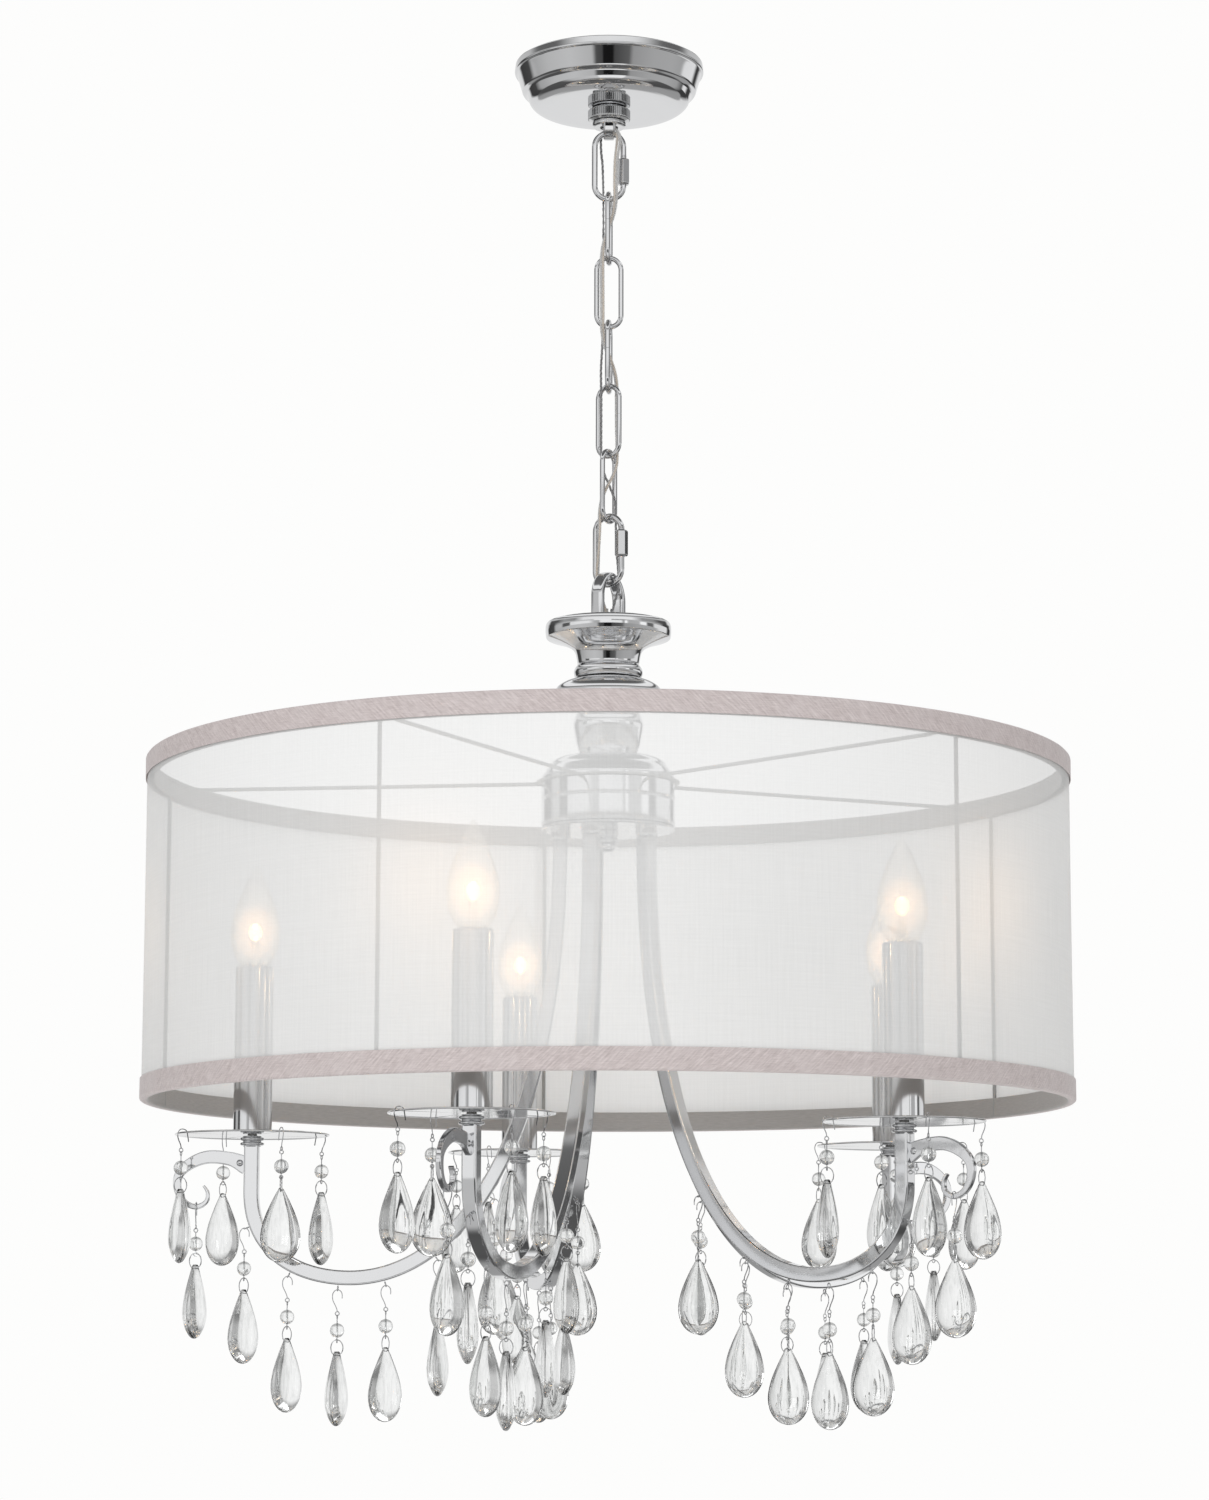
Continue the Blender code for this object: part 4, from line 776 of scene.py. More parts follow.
def flowing(rows, steps):
    """Rows of numbers joined by one smooth curve, with so many steps between each two."""
    result = []
    final = len(rows) - 1
    for index in range(final):
        four = [rows[min(max(index + offset, 0), final)] for offset in (-1, 0, 1, 2)]
        for step in range(steps):
            t = step / steps
            result.append(tuple(
                0.5 * (
                    2 * b + (c - a) * t + (2 * a - 5 * b + 4 * c - d) * t * t
                    + (3 * b - a - 3 * c + d) * t ** 3
                ) for a, b, c, d in zip(*four)
            ))
    result.append(tuple(rows[final]))
    return result


def wrapped(name, corners, faces, marks, layer_name, material, crease=32, closed=True):
    """A mesh with a UV map, which has one mark for each corner of each face. A closed mesh is turned
    outwards; an open sheet keeps its faces as they are."""
    mesh = bpy.data.meshes.new(name)
    mesh.from_pydata(corners, [], faces)
    layer = mesh.uv_layers.new(name=layer_name)
    for spot, mark in zip(layer.data, marks):
        spot.uv = mark
    if closed:
        outwards(mesh)
    return dressed(name, mesh, material, crease)


def cord_stretch(name, rows, first, last, section, material, aside=0.0, twist=0.0, lay=None):
    """A stretch of cord between two depths. Its section may lie aside of the middle line and twist round
    it, one turn for each lay; its UV map runs round the section and, in metres, along the cord."""
    rows = [row for row in rows if first - 1e-6 <= row[0] <= last + 1e-6]
    places = [Vector((x, y, -depth)) for depth, x, y, turn in rows]
    corners = []
    lengths = [rows[0][0]]
    for index, (place, (depth, x, y, turn)) in enumerate(zip(places, rows)):
        along = (places[min(index + 1, len(rows) - 1)] - places[max(index - 1, 0)]).normalized()
        broad = about_z(turn) @ Vector((1, 0, 0))
        broad = (broad - along * broad.dot(along)).normalized()
        thin = along.cross(broad)
        if index:
            lengths.append(lengths[-1] + (place - places[index - 1]).length)
        angle = twist + (math.tau * depth / lay if lay else 0.0)
        middle = place + broad * (aside * math.cos(angle)) + thin * (aside * math.sin(angle))
        corners += [middle + broad * across + thin * out for across, out in section]
    size = len(section)
    faces, marks = skin(len(rows), size, mark=lambda row, side: (side / size, lengths[row]))
    marks += [(0.0, 0.0)] * (2 * size)
    return wrapped(name, corners, faces + ends(len(rows), size), marks, "cord", material, crease=85)


def strands(name, bright, dark, rough):
    """Fine wires laid side by side in a cord, drawn on its UV map, with painted shade in the grooves between
    them.
    """
    ridges, slant = 7, 1300.0
    material, recipe = finish(name, Metallic=1.0, Roughness=rough)
    across = recipe.node("ShaderNodeSeparateXYZ", {}, recipe.node("ShaderNodeUVMap", {"uv_map": "cord"}))
    ridge_and_groove_shade = ((across * (math.tau * ridges) + across.part("Y") * slant).sine() * 0.5 + 0.5) ** 0.6
    # Each strand is painted light along its top and dark in the grooves: painted highlight and painted
    # shade.
    coat(recipe, "Base_Color", recipe.tint(ridge_and_groove_shade, dark, bright))
    coat(recipe, "Normal", recipe.raised(ridge_and_groove_shade, 0.0001, 0.8))
    return material


jacket, recipe = finish("clear_jacket", Roughness=0.12, IOR=1.46, Specular_IOR_Level=0.6)
milky = recipe.noise(recipe.place(), 260.0, 3.0)
coat(recipe, "Base_Color", recipe.tint(milky, (0.8, 0.8, 0.78), (0.9, 0.9, 0.89)))
coat(recipe, "Alpha", 0.3 + milky * 0.18)
tinned = strands("tinned_strands", (0.86, 0.86, 0.87), (0.42, 0.42, 0.44), 0.25)
copper = strands("copper_strands", (0.86, 0.68, 0.47), (0.45, 0.31, 0.2), 0.28)
twisted = strands("ground_strands", (0.62, 0.62, 0.62), (0.2, 0.2, 0.21), 0.35)


def round_section(radius, sides):
    """A circle of points, as (across, up)."""
    angles = [math.tau * step / sides for step in range(sides)]
    return [(radius * math.cos(angle), radius * math.sin(angle)) for angle in angles]


jacket_half = 0.0021
jacket_thick = 0.0012
waist_deep = 0.26
waist_half = 0.0006
jacket_section = [
    (jacket_half * x, jacket_thick * y * (1.0 - waist_deep * math.exp(-(jacket_half * x / waist_half) ** 2)))
    for x, y in round_section(1.0, 20)
]
strand_section = round_section(0.00068, 10)
thin_section = round_section(0.00044, 8)
strand_aside = 0.00098
ground_aside = 0.00046
ground_lay = 0.011
ground_strands = 3
cord_joins = [0.001]
for upper, lower in zip(link_pivots, link_pivots[1:]):
    cord_joins.append(-(upper + lower) / 2)
cord_joins.append(0.5)
flex_rows = flowing(flex_route, 8)
ground_rows = flowing([(*row, 0) for row in ground_route], 8)


def crossing(rows, depth):
    """Adds a row at exactly one depth, so that two stretches of a cord meet there."""
    for index in range(len(rows) - 1):
        before, after = rows[index], rows[index + 1]
        if before[0] + 1e-6 < depth < after[0] - 1e-6:
            share = (depth - before[0]) / (after[0] - before[0])
            rows.insert(index + 1, tuple(a + (b - a) * share for a, b in zip(before, after)))
            return


for depth in cord_joins[1:-1]:
    crossing(flex_rows, depth)
    crossing(ground_rows, depth)
for index, pivot in enumerate(link_pivots):
    first, last = cord_joins[index], cord_joins[index + 1]
    flex = merged(f"flex_stretch_{index + 1}", [
        cord_stretch("jacket", flex_rows, first, last, jacket_section, jacket),
        cord_stretch("tinned", flex_rows, first, last, strand_section, tinned, strand_aside),
        cord_stretch("copper", flex_rows, first, last, strand_section, copper, -strand_aside),
    ])
    ground = merged(f"ground_stretch_{index + 1}", [
        cord_stretch(
            "strand", ground_rows, first, last, thin_section, twisted, ground_aside,
            math.tau * part / ground_strands, ground_lay,
        ) for part in range(ground_strands)
    ])
    for cord, node in ((flex, "supply_flex"), (ground, "ground_wire")):
        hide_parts(node)
        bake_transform(cord)

# Body loop: a cast loop of rounded strap under the chain, polished and chromed like the column below it,
# with its two feet screwed down on the cap.
body_strap = rounded_bar(0.0055, 0.009, 0.0024, 5)
body_loop = swept(
    "polished_body_loop", arch(0.015, 0.03105, -0.38691), lambda index: body_strap, chrome, turn=62
)
stands_for(body_loop, "body_loop", "fixture")

# Column: cap, bell, urn and hub are spun or turned brass, polished and chromed, and threaded one under
# the other on the centre pipe; the hub's base plate has five bosses for the arms.
cap_top = -0.38721
cap = [
    (0.0054, 0.0), (0.0385, 0.0, 0.0008), (0.0412, -0.0006, 0.001), (0.0419, -0.003, 0.0014),
    (0.042, -0.007, 0.003), (0.0414, -0.0107, 0.0006), (0.0362, -0.0122, 0.0008),
    (0.0313, -0.0138, 0.003), (0.0252, -0.0167, 0.004), (0.0228, -0.0192, 0.003),
    (0.0217, -0.0215, 0.003), (0.0206, -0.028, 0.002), (0.0208, -0.0292, 0.0004),
    (0.0224, -0.0312, 0.0016), (0.0232, -0.034, 0.0022), (0.0224, -0.0372, 0.0012),
    (0.0216, -0.0379, 0.0003), (0.0054, -0.0379),
]
bell = [
    (0.0054, 0.0), (0.0216, 0.0, 0.0004), (0.0232, -0.0006, 0.0006), (0.0292, -0.0024, 0.003),
    (0.0342, -0.0056, 0.004), (0.036, -0.009, 0.003), (0.0365, -0.0126, 0.0012),
    (0.0354, -0.0144, 0.0006), (0.0054, -0.0144),
]
urn = [
    (0.0054, 0.0), (0.016, 0.0, 0.0006), (0.0186, -0.003, 0.0025), (0.0205, -0.007, 0.003),
    (0.0228, -0.013, 0.004), (0.0235, -0.0168, 0.003), (0.0213, -0.0298, 0.006),
    (0.019, -0.036, 0.002), (0.019, -0.0372, 0.0004), (0.0054, -0.0372),
]
for name, outline, top in (("cap_disc", cap, cap_top), ("bell", bell, -0.42541), ("urn", urn, -0.44011)):
    piece = spun("turned_" + name, eased(outline), chrome, (0, 0, top), 128, closed=True)
    stands_for(piece, name, "fixture")

hub_cap = spun("spun_hub_cap", eased([
    (0.0054, 0.0), (0.022, 0.0, 0.001), (0.0338, -0.0017, 0.004), (0.0385, -0.005, 0.003),
    (0.04, -0.0088, 0.0012), (0.0408, -0.009, 0.0003), (0.0443, -0.0142, 0.003),
    (0.0443, -0.0167, 0.0003), (0.0431, -0.0167, 0.0003), (0.0431, -0.0142, 0.002),
    (0.0398, -0.01, 0.001), (0.0372, -0.0052, 0.003), (0.033, -0.0029, 0.003),
    (0.022, -0.0012, 0.001), (0.0054, -0.0012),
]), chrome, (0, 0, -0.47761), 128, closed=True)
hub_body = spun("spun_hub_body", eased([
    (0.0431, 0.0), (0.0443, 0.0, 0.0004), (0.0443, -0.0102, 0.0004), (0.0437, -0.0107, 0.0003),
    (0.0437, -0.0115, 0.0003), (0.0443, -0.012, 0.0004), (0.0443, -0.0272, 0.0005),
    (0.0438, -0.0278, 0.0003), (0.0443, -0.0284, 0.0003), (0.0443, -0.029, 0.0003), (0.0431, -0.029),
]), chrome, (0, 0, -0.49591), 128, closed=True)
base_plate = spun("plate", eased([
    (0.0054, 0.0), (0.0436, 0.0, 0.0004), (0.0443, -0.0006, 0.0004), (0.0443, -0.0016, 0.0004),
    (0.0436, -0.0022, 0.0004), (0.0054, -0.0022),
]), chrome, (0, 0, -0.52521), 128, closed=True)
arm_turns = [-110.4 + 72 * index for index in range(5)]
base_pieces = [base_plate]
boss_place = Vector((0.0315, 0, -0.52741))
for turn in arm_turns:
    base_pieces.append(spun("boss", eased([
        (0.0, 0.0006), (0.00665, 0.0006, 0.0002), (0.00665, -0.005, 0.0006), (0.006, -0.0064, 0.0006),
        (0.0, -0.0064),
    ]), chrome, about_z(turn) @ boss_place, 40))
hub_base = merged("hub_base_plate", base_pieces)
finial = spun("turned_finial", eased([
    (0.0, 0.0), (0.0069, 0.0, 0.0003), (0.0069, -0.003, 0.0004), (0.006, -0.0036, 0.0003),
    (0.006, -0.0044, 0.0003), (0.0069, -0.0055, 0.001), (0.0069, -0.0072, 0.001),
    (0.005, -0.0095, 0.0012), (0.0046, -0.012, 0.0012), (0.003, -0.0137, 0.001), (0.0, -0.0141),
]), chrome, (0, 0, -0.52771), 48)
stands_for(hub_cap, "hub_cap", "fixture")
stands_for(hub_body, "hub_body", "fixture")
stands_for(hub_base, "hub_base", "fixture")
stands_for(finial, "finial", "fixture")

# Shade frame: two rings of steel wire, five cranked spokes welded to a washer that the hub clamps, and
# five upright struts, all welded and painted off-white. Each joint shows a small weld.
paint, recipe = finish("frame_paint", Roughness=0.42)
brushed = recipe.noise(recipe.place(), 90.0, 3.0)
# The paint's colour is a mid grey, darker than off-white: painted shade on the wires inside the drum.
coat(recipe, "Base_Color", recipe.tint(brushed, (0.32, 0.32, 0.315), (0.42, 0.42, 0.41)))
coat(recipe, "Normal", recipe.raised(recipe.noise(recipe.place(), 500.0), 0.0001, 0.4))
shade_top = -0.48401
shade_under = -0.70831
frame_turns = [-117 + 72 * index for index in range(5)]
ring_radius = 0.3011
ring_inset = 0.0021
ring_wire = 0.0015
rod_wire = 0.0013
ring_top = shade_top - ring_inset
ring_under = shade_under + ring_inset


def round_line(radius, height, steps):
    """A level circle of points whose ends meet."""
    return [(x, y, height) for x, y in round_section(radius, steps)] + [(radius, 0.0, height)]


def egg(wide, tall, steps, middle=0.0):
    """Half the outline of an egg, from its top to its foot."""
    angles = [math.pi * step / steps for step in range(steps + 1)]
    return [(wide * math.sin(angle), middle + tall * math.cos(angle)) for angle in angles]


spoke_line = [
    (0.044, -0.49511), (0.14, -0.4948), (0.278, -0.4941), (0.2845, -0.4933), (0.289, -0.4916),
    (0.296, -0.4879), (0.3, -0.4864), (ring_radius - 0.0012, ring_top + 0.0002),
]
strut_line = [(ring_radius - 0.0016, ring_top), (ring_radius - 0.0016, ring_under)]
weld_places = (
    (ring_radius - 0.0006, ring_top, 0.0022), (ring_radius - 0.0006, ring_under, 0.0021),
    (0.0458, -0.4951, 0.0016),
)
thin_lines = []
welds = []
for turn in frame_turns:
    around = about_z(turn)
    for line in (spoke_line, strut_line):
        thin_lines.append([around @ Vector((radius, 0, height)) for radius, height in line])
    for radius, height, size in weld_places:
        welds.append(spun("weld", egg(size, size * 0.8, 8), paint, around @ Vector((radius, 0, height)), 12))
washer = spun("washer", eased([
    (0.0056, -0.49461), (0.047, -0.49461, 0.0002), (0.0475, -0.49476, 0.0002), (0.0475, -0.49546, 0.0002),
    (0.047, -0.49561, 0.0002), (0.0056, -0.49561),
]), paint, closed=True)
ring_lines = [round_line(ring_radius, height, 180) for height in (ring_top, ring_under)]
frame_rings = drawn("rings", ring_lines, ring_wire, paint)
frame_rods = drawn("rods", thin_lines, rod_wire, paint)
wire_frame = merged("welded_shade_frame", [frame_rings, frame_rods, washer, *welds])
stands_for(wire_frame, "shade_frame", "fixture")

# Shade cloth: one sheet of sheer white organza wrapped round the frame and stretched, glued to the rings
# under the trim, with its ends lapped at a strut at the back.
cloth_radius = 0.3036
lap = math.radians(1.3)
cloth_steps = 288
cloth_rows = 40
cloth_inset = 0.0006
thread_gap = 0.00075
seam_turn = math.radians(frame_turns[3])
corners = []
marks = []
for row in range(cloth_rows + 1):
    share = row / cloth_rows
    height = shade_top - cloth_inset + (shade_under + cloth_inset - shade_top + cloth_inset) * share
    for step in range(cloth_steps + 1):
        around = step / cloth_steps
        angle = seam_turn + (math.tau + lap) * around
        waves = 1 + 0.6 * math.sin(angle * 5 + 0.4) + 0.3 * math.sin(angle * 13)
        slack = 0.00035 * math.sin(math.pi * share) * waves
        radius = cloth_radius + 0.00015 * (around - 0.5) - max(slack, 0.0)
        corners.append((radius * math.cos(angle), radius * math.sin(angle), height))
        marks.append((cloth_radius * (math.tau + lap) * around, height - shade_under))
wide = cloth_steps + 1
faces = [
    (row * wide + step, (row + 1) * wide + step, (row + 1) * wide + step + 1, row * wide + step + 1)
    for row in range(cloth_rows) for step in range(cloth_steps)
]
cloth_marks = [marks[corner] for face in faces for corner in face]
organza, recipe = finish("sheer_organza", Roughness=0.78, Sheen_Weight=0.15, Sheen_Roughness=0.5)
on_cloth = recipe.node("ShaderNodeUVMap", {"uv_map": "cloth"})
across_cloth = recipe.node("ShaderNodeSeparateXYZ", {}, on_cloth)
warp = (across_cloth * (math.tau / thread_gap)).sine()
weft = (across_cloth.part("Y") * (math.tau / thread_gap)).sine()
thread = warp * 0.5 + weft * 0.5
slub_up = recipe.noise(recipe.stretched(on_cloth, 900.0, 22.0, 1.0), 1.0, 2.0)
slub_across = recipe.noise(recipe.stretched(on_cloth, 22.0, 900.0, 1.0), 1.0, 2.0)
clouds = recipe.noise(on_cloth, 9.0, 3.0)
coat(recipe, "Alpha", 0.578 + thread * 0.035 + slub_up * 0.075 + slub_across * 0.06 + clouds * 0.05)
coat(recipe, "Base_Color", recipe.tint(clouds, (0.84, 0.845, 0.845), (0.89, 0.89, 0.885)))
coat(recipe, "Normal", recipe.raised(thread + slub_up, 0.0001, 0.3))
# A warm glow is painted on the cloth near each bulb, by its distance from the bulb: painted light, given as
# emission.
bulb_middle = Vector((0.2335, 0, -0.593))
bulb_to_cloth = 0.0701
painted_bulb_glow = 0.0
for turn in arm_turns:
    lit_from = about_z(turn) @ bulb_middle
    away = recipe.node(
        "ShaderNodeVectorMath", {"operation": "DISTANCE"}, recipe.place(), lit_from, output="Value",
    )
    painted_bulb_glow = (bulb_to_cloth / away) ** 7.0 + painted_bulb_glow
coat(recipe, "Emission_Color", recipe.tint(painted_bulb_glow, (0.0, 0.0, 0.0), (1.0, 0.62, 0.3)))
coat(recipe, "Emission_Strength", 0.16)
cloth = wrapped("organza_drum", corners, faces, cloth_marks, "cloth", organza, closed=False)

# Trims: a band of slub silk folded over each ring, 14 mm deep outside and inside, glued down. It is a
# pale pinkish grey with crosswise slubs.
silk, recipe = finish("slub_silk", Roughness=0.62, Sheen_Weight=0.25, Sheen_Roughness=0.4)
on_silk = recipe.node("ShaderNodeUVMap", {"uv_map": "cloth"})
slubs = recipe.noise(recipe.stretched(on_silk, 150.0, 1500.0, 1.0), 1.0, 3.0, 0.6)
slants = recipe.node("ShaderNodeVectorRotate", {"rotation_type": "Z_AXIS"}, on_silk, None, None, 0.75)
slants = recipe.noise(recipe.stretched(slants, 110.0, 900.0, 1.0), 1.0, 3.0, 0.6)
mottled = recipe.noise(on_silk, 45.0, 3.0)
streaks = ((slubs * 0.45 + slants * 0.75) - 0.36) * 2.1
silk_colour = recipe.tint(streaks, (0.44, 0.375, 0.37), (0.76, 0.685, 0.675))
silk_colour = recipe.tint((mottled - 0.45) * 0.9, silk_colour, (0.7, 0.645, 0.64))
# The half of the fold inside the drum is painted darker than the outside: painted shade.
round_fold = recipe.node("ShaderNodeSeparateXYZ", {}, on_silk).part("Y")
inside = recipe.rising(round_fold, 0.0165, 0.0195)
silk_colour = recipe.tint(inside, silk_colour, recipe.tint(slubs, (0.3, 0.285, 0.275), (0.5, 0.48, 0.465)))
coat(recipe, "Base_Color", silk_colour)
coat(recipe, "Normal", recipe.raised(slubs * 0.7 + slants * 0.5, 0.0003, 0.45))
band_depth = 0.014
band_radius = 0.3048
fold_rise = 0.0016
silk_thick = 0.0003
fold_middle = 0.3012
near_fold = 0.0015
widest = 0.30478
band_steps = 240


def folded_band(name, edge, sense):
    """Silk folded over a ring whose edge is at a height; the fold runs down outside and inside."""
    depth = band_depth * sense
    fold = fold_rise * sense
    line = [(0.30465, edge - depth), (0.3047, edge - depth * 0.5), (0.30472, edge - fold)]
    for step in range(1, 8):
        angle = math.pi * step / 8
        line.append((0.30165 + 0.00307 * math.cos(angle), edge - fold + fold * math.sin(angle)))
    line += [(0.29858, edge - fold), (0.2985, edge - depth * 0.5), (0.2986, edge - depth)]
    inner = []
    lengths = [0.0]
    for radius, height in line:
        down = silk_thick * sense if abs(height - edge) < near_fold else 0.0
        inner.append((radius + (silk_thick if radius < fold_middle else -silk_thick), height - down))
    for before, after in zip(line, line[1:]):
        lengths.append(lengths[-1] + math.dist(before, after))
    lengths += lengths[::-1]
    outline = line + inner[::-1]
    corners = []
    for step in range(band_steps):
        angle = math.tau * step / band_steps
        wave = 0.00006 * math.sin(angle * 31) + 0.00005 * math.sin(angle * 57 + 1)
        for radius, height in outline:
            reach = min(radius + wave, widest)
            corners.append((reach * math.cos(angle), reach * math.sin(angle), height))

    def mark(step, index):
        return band_radius * math.tau * step / band_steps, lengths[index % len(outline)]

    faces, marks = skin(band_steps, len(outline), True, mark)
    return wrapped(name, corners, faces, marks, "cloth", silk)


band_top = folded_band("silk_band_top", shade_top, 1)
band_under = folded_band("silk_band_under", shade_under, -1)
for piece, node in ((cloth, "shade_fabric"), (band_top, "trim_top"), (band_under, "trim_bottom")):
    stands_for(piece, node, "fixture")

# Arms: square steel tube with softened edges, cold bent in one plane, brazed under the hub and chromed.
# Each ends in a stem that carries a candle, and has six small eyelets brazed under it.
arm_top = -0.53411
arm_low = -0.82081
arm_end = -0.73461
stem_radius = 0.2335


def cubic(knots, steps):
    """Points along a cubic curve from its four control points, without the first."""
    line = []
    for step in range(1, steps + 1):
        late = step / steps
        early = 1 - late
        weights = (early ** 3, 3 * early * early * late, 3 * early * late * late, late ** 3)
        line.append(tuple(
            sum(weight * knot[axis] for weight, knot in zip(weights, knots)) for axis in (0, 1)
        ))
    return line


boss_reach, low_reach = 0.0315, 0.168
arm_path = [(boss_reach, arm_top), (boss_reach, arm_top - 0.0095)]
arm_path += cubic((
    (boss_reach, arm_top), (boss_reach, arm_top - 0.20069), (0.09798, arm_low), (low_reach, arm_low),
), 60)[3:]
arm_path += cubic((
    (low_reach, arm_low), (0.20501, arm_low), (stem_radius, arm_low + 0.01904),
    (stem_radius, arm_low + 0.056),
), 30)
arm_path.append((stem_radius, arm_end))
tube_wide = 0.0095
tube = rounded_bar(tube_wide, tube_wide, 0.0011, 3)
arm_chrome = chrome_plate("arm_chrome", (0.79, 0.795, 0.805), 0.05, 0.06)
candle_places = [about_z(turn) @ Vector((stem_radius, 0, 0)) for turn in arm_turns]
arm_lengths = [0.0]
for first, second in zip(arm_path, arm_path[1:]):
    arm_lengths.append(arm_lengths[-1] + math.dist(first, second))


def along_arm(share):
    """The place at a share of the arm's length, and its heading there."""
    distance = share * arm_lengths[-1]
    index = max(step for step in range(len(arm_path) - 1) if arm_lengths[step] <= distance)
    first = Vector(arm_path[index])
    heading = (Vector(arm_path[index + 1]) - first).normalized()
    return first + heading * (distance - arm_lengths[index]), heading


eyelet_shares = (0.891, 0.812, 0.747, 0.686, 0.612, 0.505)
eyelet_out = 0.0023
eyelet_far = 0.0036
eyelet_steps = 14
eyelet_wire = 0.0004
eyelet_lines = []
hook_places = []
for share in eyelet_shares:
    spot, heading = along_arm(share)
    outward = Vector((heading.y, -heading.x))
    middle = spot + outward * (tube_wide / 2 + eyelet_out)
    hook_places.append(spot + outward * (tube_wide / 2 + eyelet_far))
    loop = []
    for step in range(eyelet_steps + 1):
        angle = math.tau * step / eyelet_steps
        place = middle + outward * (0.0016 * math.cos(angle))
        loop.append((place.x, 0.0014 * math.sin(angle), place.y))
    eyelet_lines.append(loop)
cup_top = -0.72861
cup_outline = eased([
    (0.0034, 0.0), (0.0062, 0.0, 0.0003), (0.0062, -0.0007, 0.0003), (0.0079, -0.0011, 0.0006),
    (0.0079, -0.0027, 0.0007), (0.006, -0.0033, 0.0004), (0.006, -0.0039, 0.0004),
    (0.0079, -0.0044, 0.0006), (0.0079, -0.0058, 0.0007), (0.006, -0.0064, 0.0004),
    (0.0056, -0.007, 0.0003), (0.0034, -0.007),
])

# Scroll: a flat bar with eased edges, drawn out to a point and curled, riveted to the stem. It is joined
# here with its arm, the arm's eyelets and its cup nut.
scroll_from = 0.23775
scroll_wide = 0.0476
scroll_tall = 0.039
scroll_bar = 0.0085
scroll_thick = 0.0035
scroll_line = [
    (0.0, 0.254, 1.41), (0.204, 0.151, 1.06), (0.511, 0.118, 1.0), (0.761, 0.228, 0.88), (0.918, 0.42, 0.7),
    (0.929, 0.664, 0.59), (0.834, 0.869, 0.47), (0.67, 0.95, 0.42), (0.536, 0.869, 0.35),
    (0.515, 0.715, 0.28), (0.571, 0.6, 0.19),
]
scroll_rows = [
    (scroll_from + across * scroll_wide, arm_end - 0.003 - down * scroll_tall, broad * scroll_bar)
    for across, down, broad in flowing(scroll_line, 7)
]
scroll_rows[0] = (0.2372, scroll_rows[0][1] - 0.0002, scroll_rows[0][2])


def scroll_section(index):
    """The bar's outline, which narrows with its width."""
    width = scroll_rows[index][2]
    return rounded_bar(width, scroll_thick, min(0.0007, width * 0.3), 2)


rivet_outline = eased([
    (0.0, 0.0011), (0.0013, 0.0009, 0.0004), (0.0022, 0.0002, 0.0004), (0.0023, -0.0002, 0.0002),
    (0.0, -0.0003),
])
for index, turn in enumerate(arm_turns):
    around = about_z(turn)
    pieces = [
        swept("tube", arm_path, lambda step: tube, arm_chrome, turn=turn),
        swept("scroll", [row[:2] for row in scroll_rows], scroll_section, arm_chrome, turn=turn),
    ]
    for side in (1, -1):
        rivet = spun("rivet", rivet_outline, arm_chrome, sides=20)
        tip = Matrix.Translation((0.2412, -0.00175 * side, scroll_rows[2][1] + 0.0004))
        rivet.data.transform(around @ tip @ Matrix.Rotation(math.radians(90 * side), 4, "X"))
        pieces.append(rivet)
    loops = [[around @ Vector(place) for place in line] for line in eyelet_lines]
    pieces.append(drawn("eyelets", loops, eyelet_wire, arm_chrome, 8))
    candle = candle_places[index]
    pieces.append(spun("cup_nut", cup_outline, arm_chrome, (candle.x, candle.y, cup_top), 40, closed=True))
    stands_for(merged(f"bent_arm_{index + 1}", pieces), f"arm_{index + 1}", "fixture")

# Pans: thin pressed discs with a rolled rim and four small holes for the pendants' hooks, chromed and
# clamped between the cup nut and the candle sleeve.
pan_top = -0.72711
pan_turns = (51, 51, 56, 50, 30)
pan_chrome = chrome_plate("pan_chrome", (0.82, 0.825, 0.83), 0.05, 0.06)
pan_outline = eased([
    (0.0034, 0.0), (0.0484, 0.0, 0.0008), (0.0494, 0.0, 0.0005), (0.0504, 0.0, 0.0005),
    (0.0507, -0.0006, 0.0003), (0.0504, -0.0012, 0.0004), (0.0494, -0.0012, 0.0004),
    (0.0486, -0.0008, 0.0004), (0.0034, -0.0008),
])
hole_circle = 0.0455
hole_outline = [(0.0, 0.002), (0.0006, 0.002), (0.0006, -0.003), (0.0, -0.003)]
for index, candle in enumerate(candle_places):
    place = (candle.x, candle.y, pan_top)
    pan = spun(f"pressed_pan_{index + 1}", pan_outline, pan_chrome, place, 96, closed=True)
    hole_pieces = []
    for step in range(4):
        angle = math.radians(arm_turns[index] + pan_turns[index] + 90 * step)
        place = (candle.x + hole_circle * math.cos(angle), candle.y + hole_circle * math.sin(angle), pan_top)
        hole_pieces.append(spun("hole", hole_outline, pan_chrome, place, 12))
    drill = merged("drill", hole_pieces)
    cut = pan.modifiers.new("holes", "BOOLEAN")
    cut.operation = "DIFFERENCE"
    cut.solver = "EXACT"
    cut.object = drill
    graph = bpy.context.evaluated_depsgraph_get()
    drilled = bpy.data.meshes.new_from_object(pan.evaluated_get(graph))
    pan.modifiers.clear()
    pan.data = drilled
    drilled.materials.clear()
    drilled.materials.append(pan_chrome)
    bpy.data.objects.remove(drill, do_unlink=True)
    stands_for(pan, f"pan_{index + 1}", "fixture")

# Candle sleeves: thin brass tube with its upper edge turned in, chromed; the lamp holders inside are
# white glazed porcelain.
sleeve_top, sleeve_long = -0.61711, 0.1097
sleeve_outline = eased([
    (0.0119, sleeve_top - sleeve_long), (0.0127, sleeve_top - sleeve_long, 0.0003),
    (0.0127, sleeve_top - 0.001, 0.0006), (0.0122, sleeve_top, 0.0004),
    (0.0117, sleeve_top - 0.0002, 0.0002), (0.0119, sleeve_top - 0.0016, 0.0004),
])
candle_chrome = chrome_plate("candle_chrome", (0.77, 0.775, 0.785), 0.075, 0.06)
porcelain, recipe = finish("white_porcelain", Roughness=0.22, Coat_Weight=0.4)
glazed = recipe.noise(recipe.place(), 300.0, 3.0)
coat(recipe, "Base_Color", recipe.tint(glazed, (0.8, 0.79, 0.76), (0.86, 0.855, 0.83)))
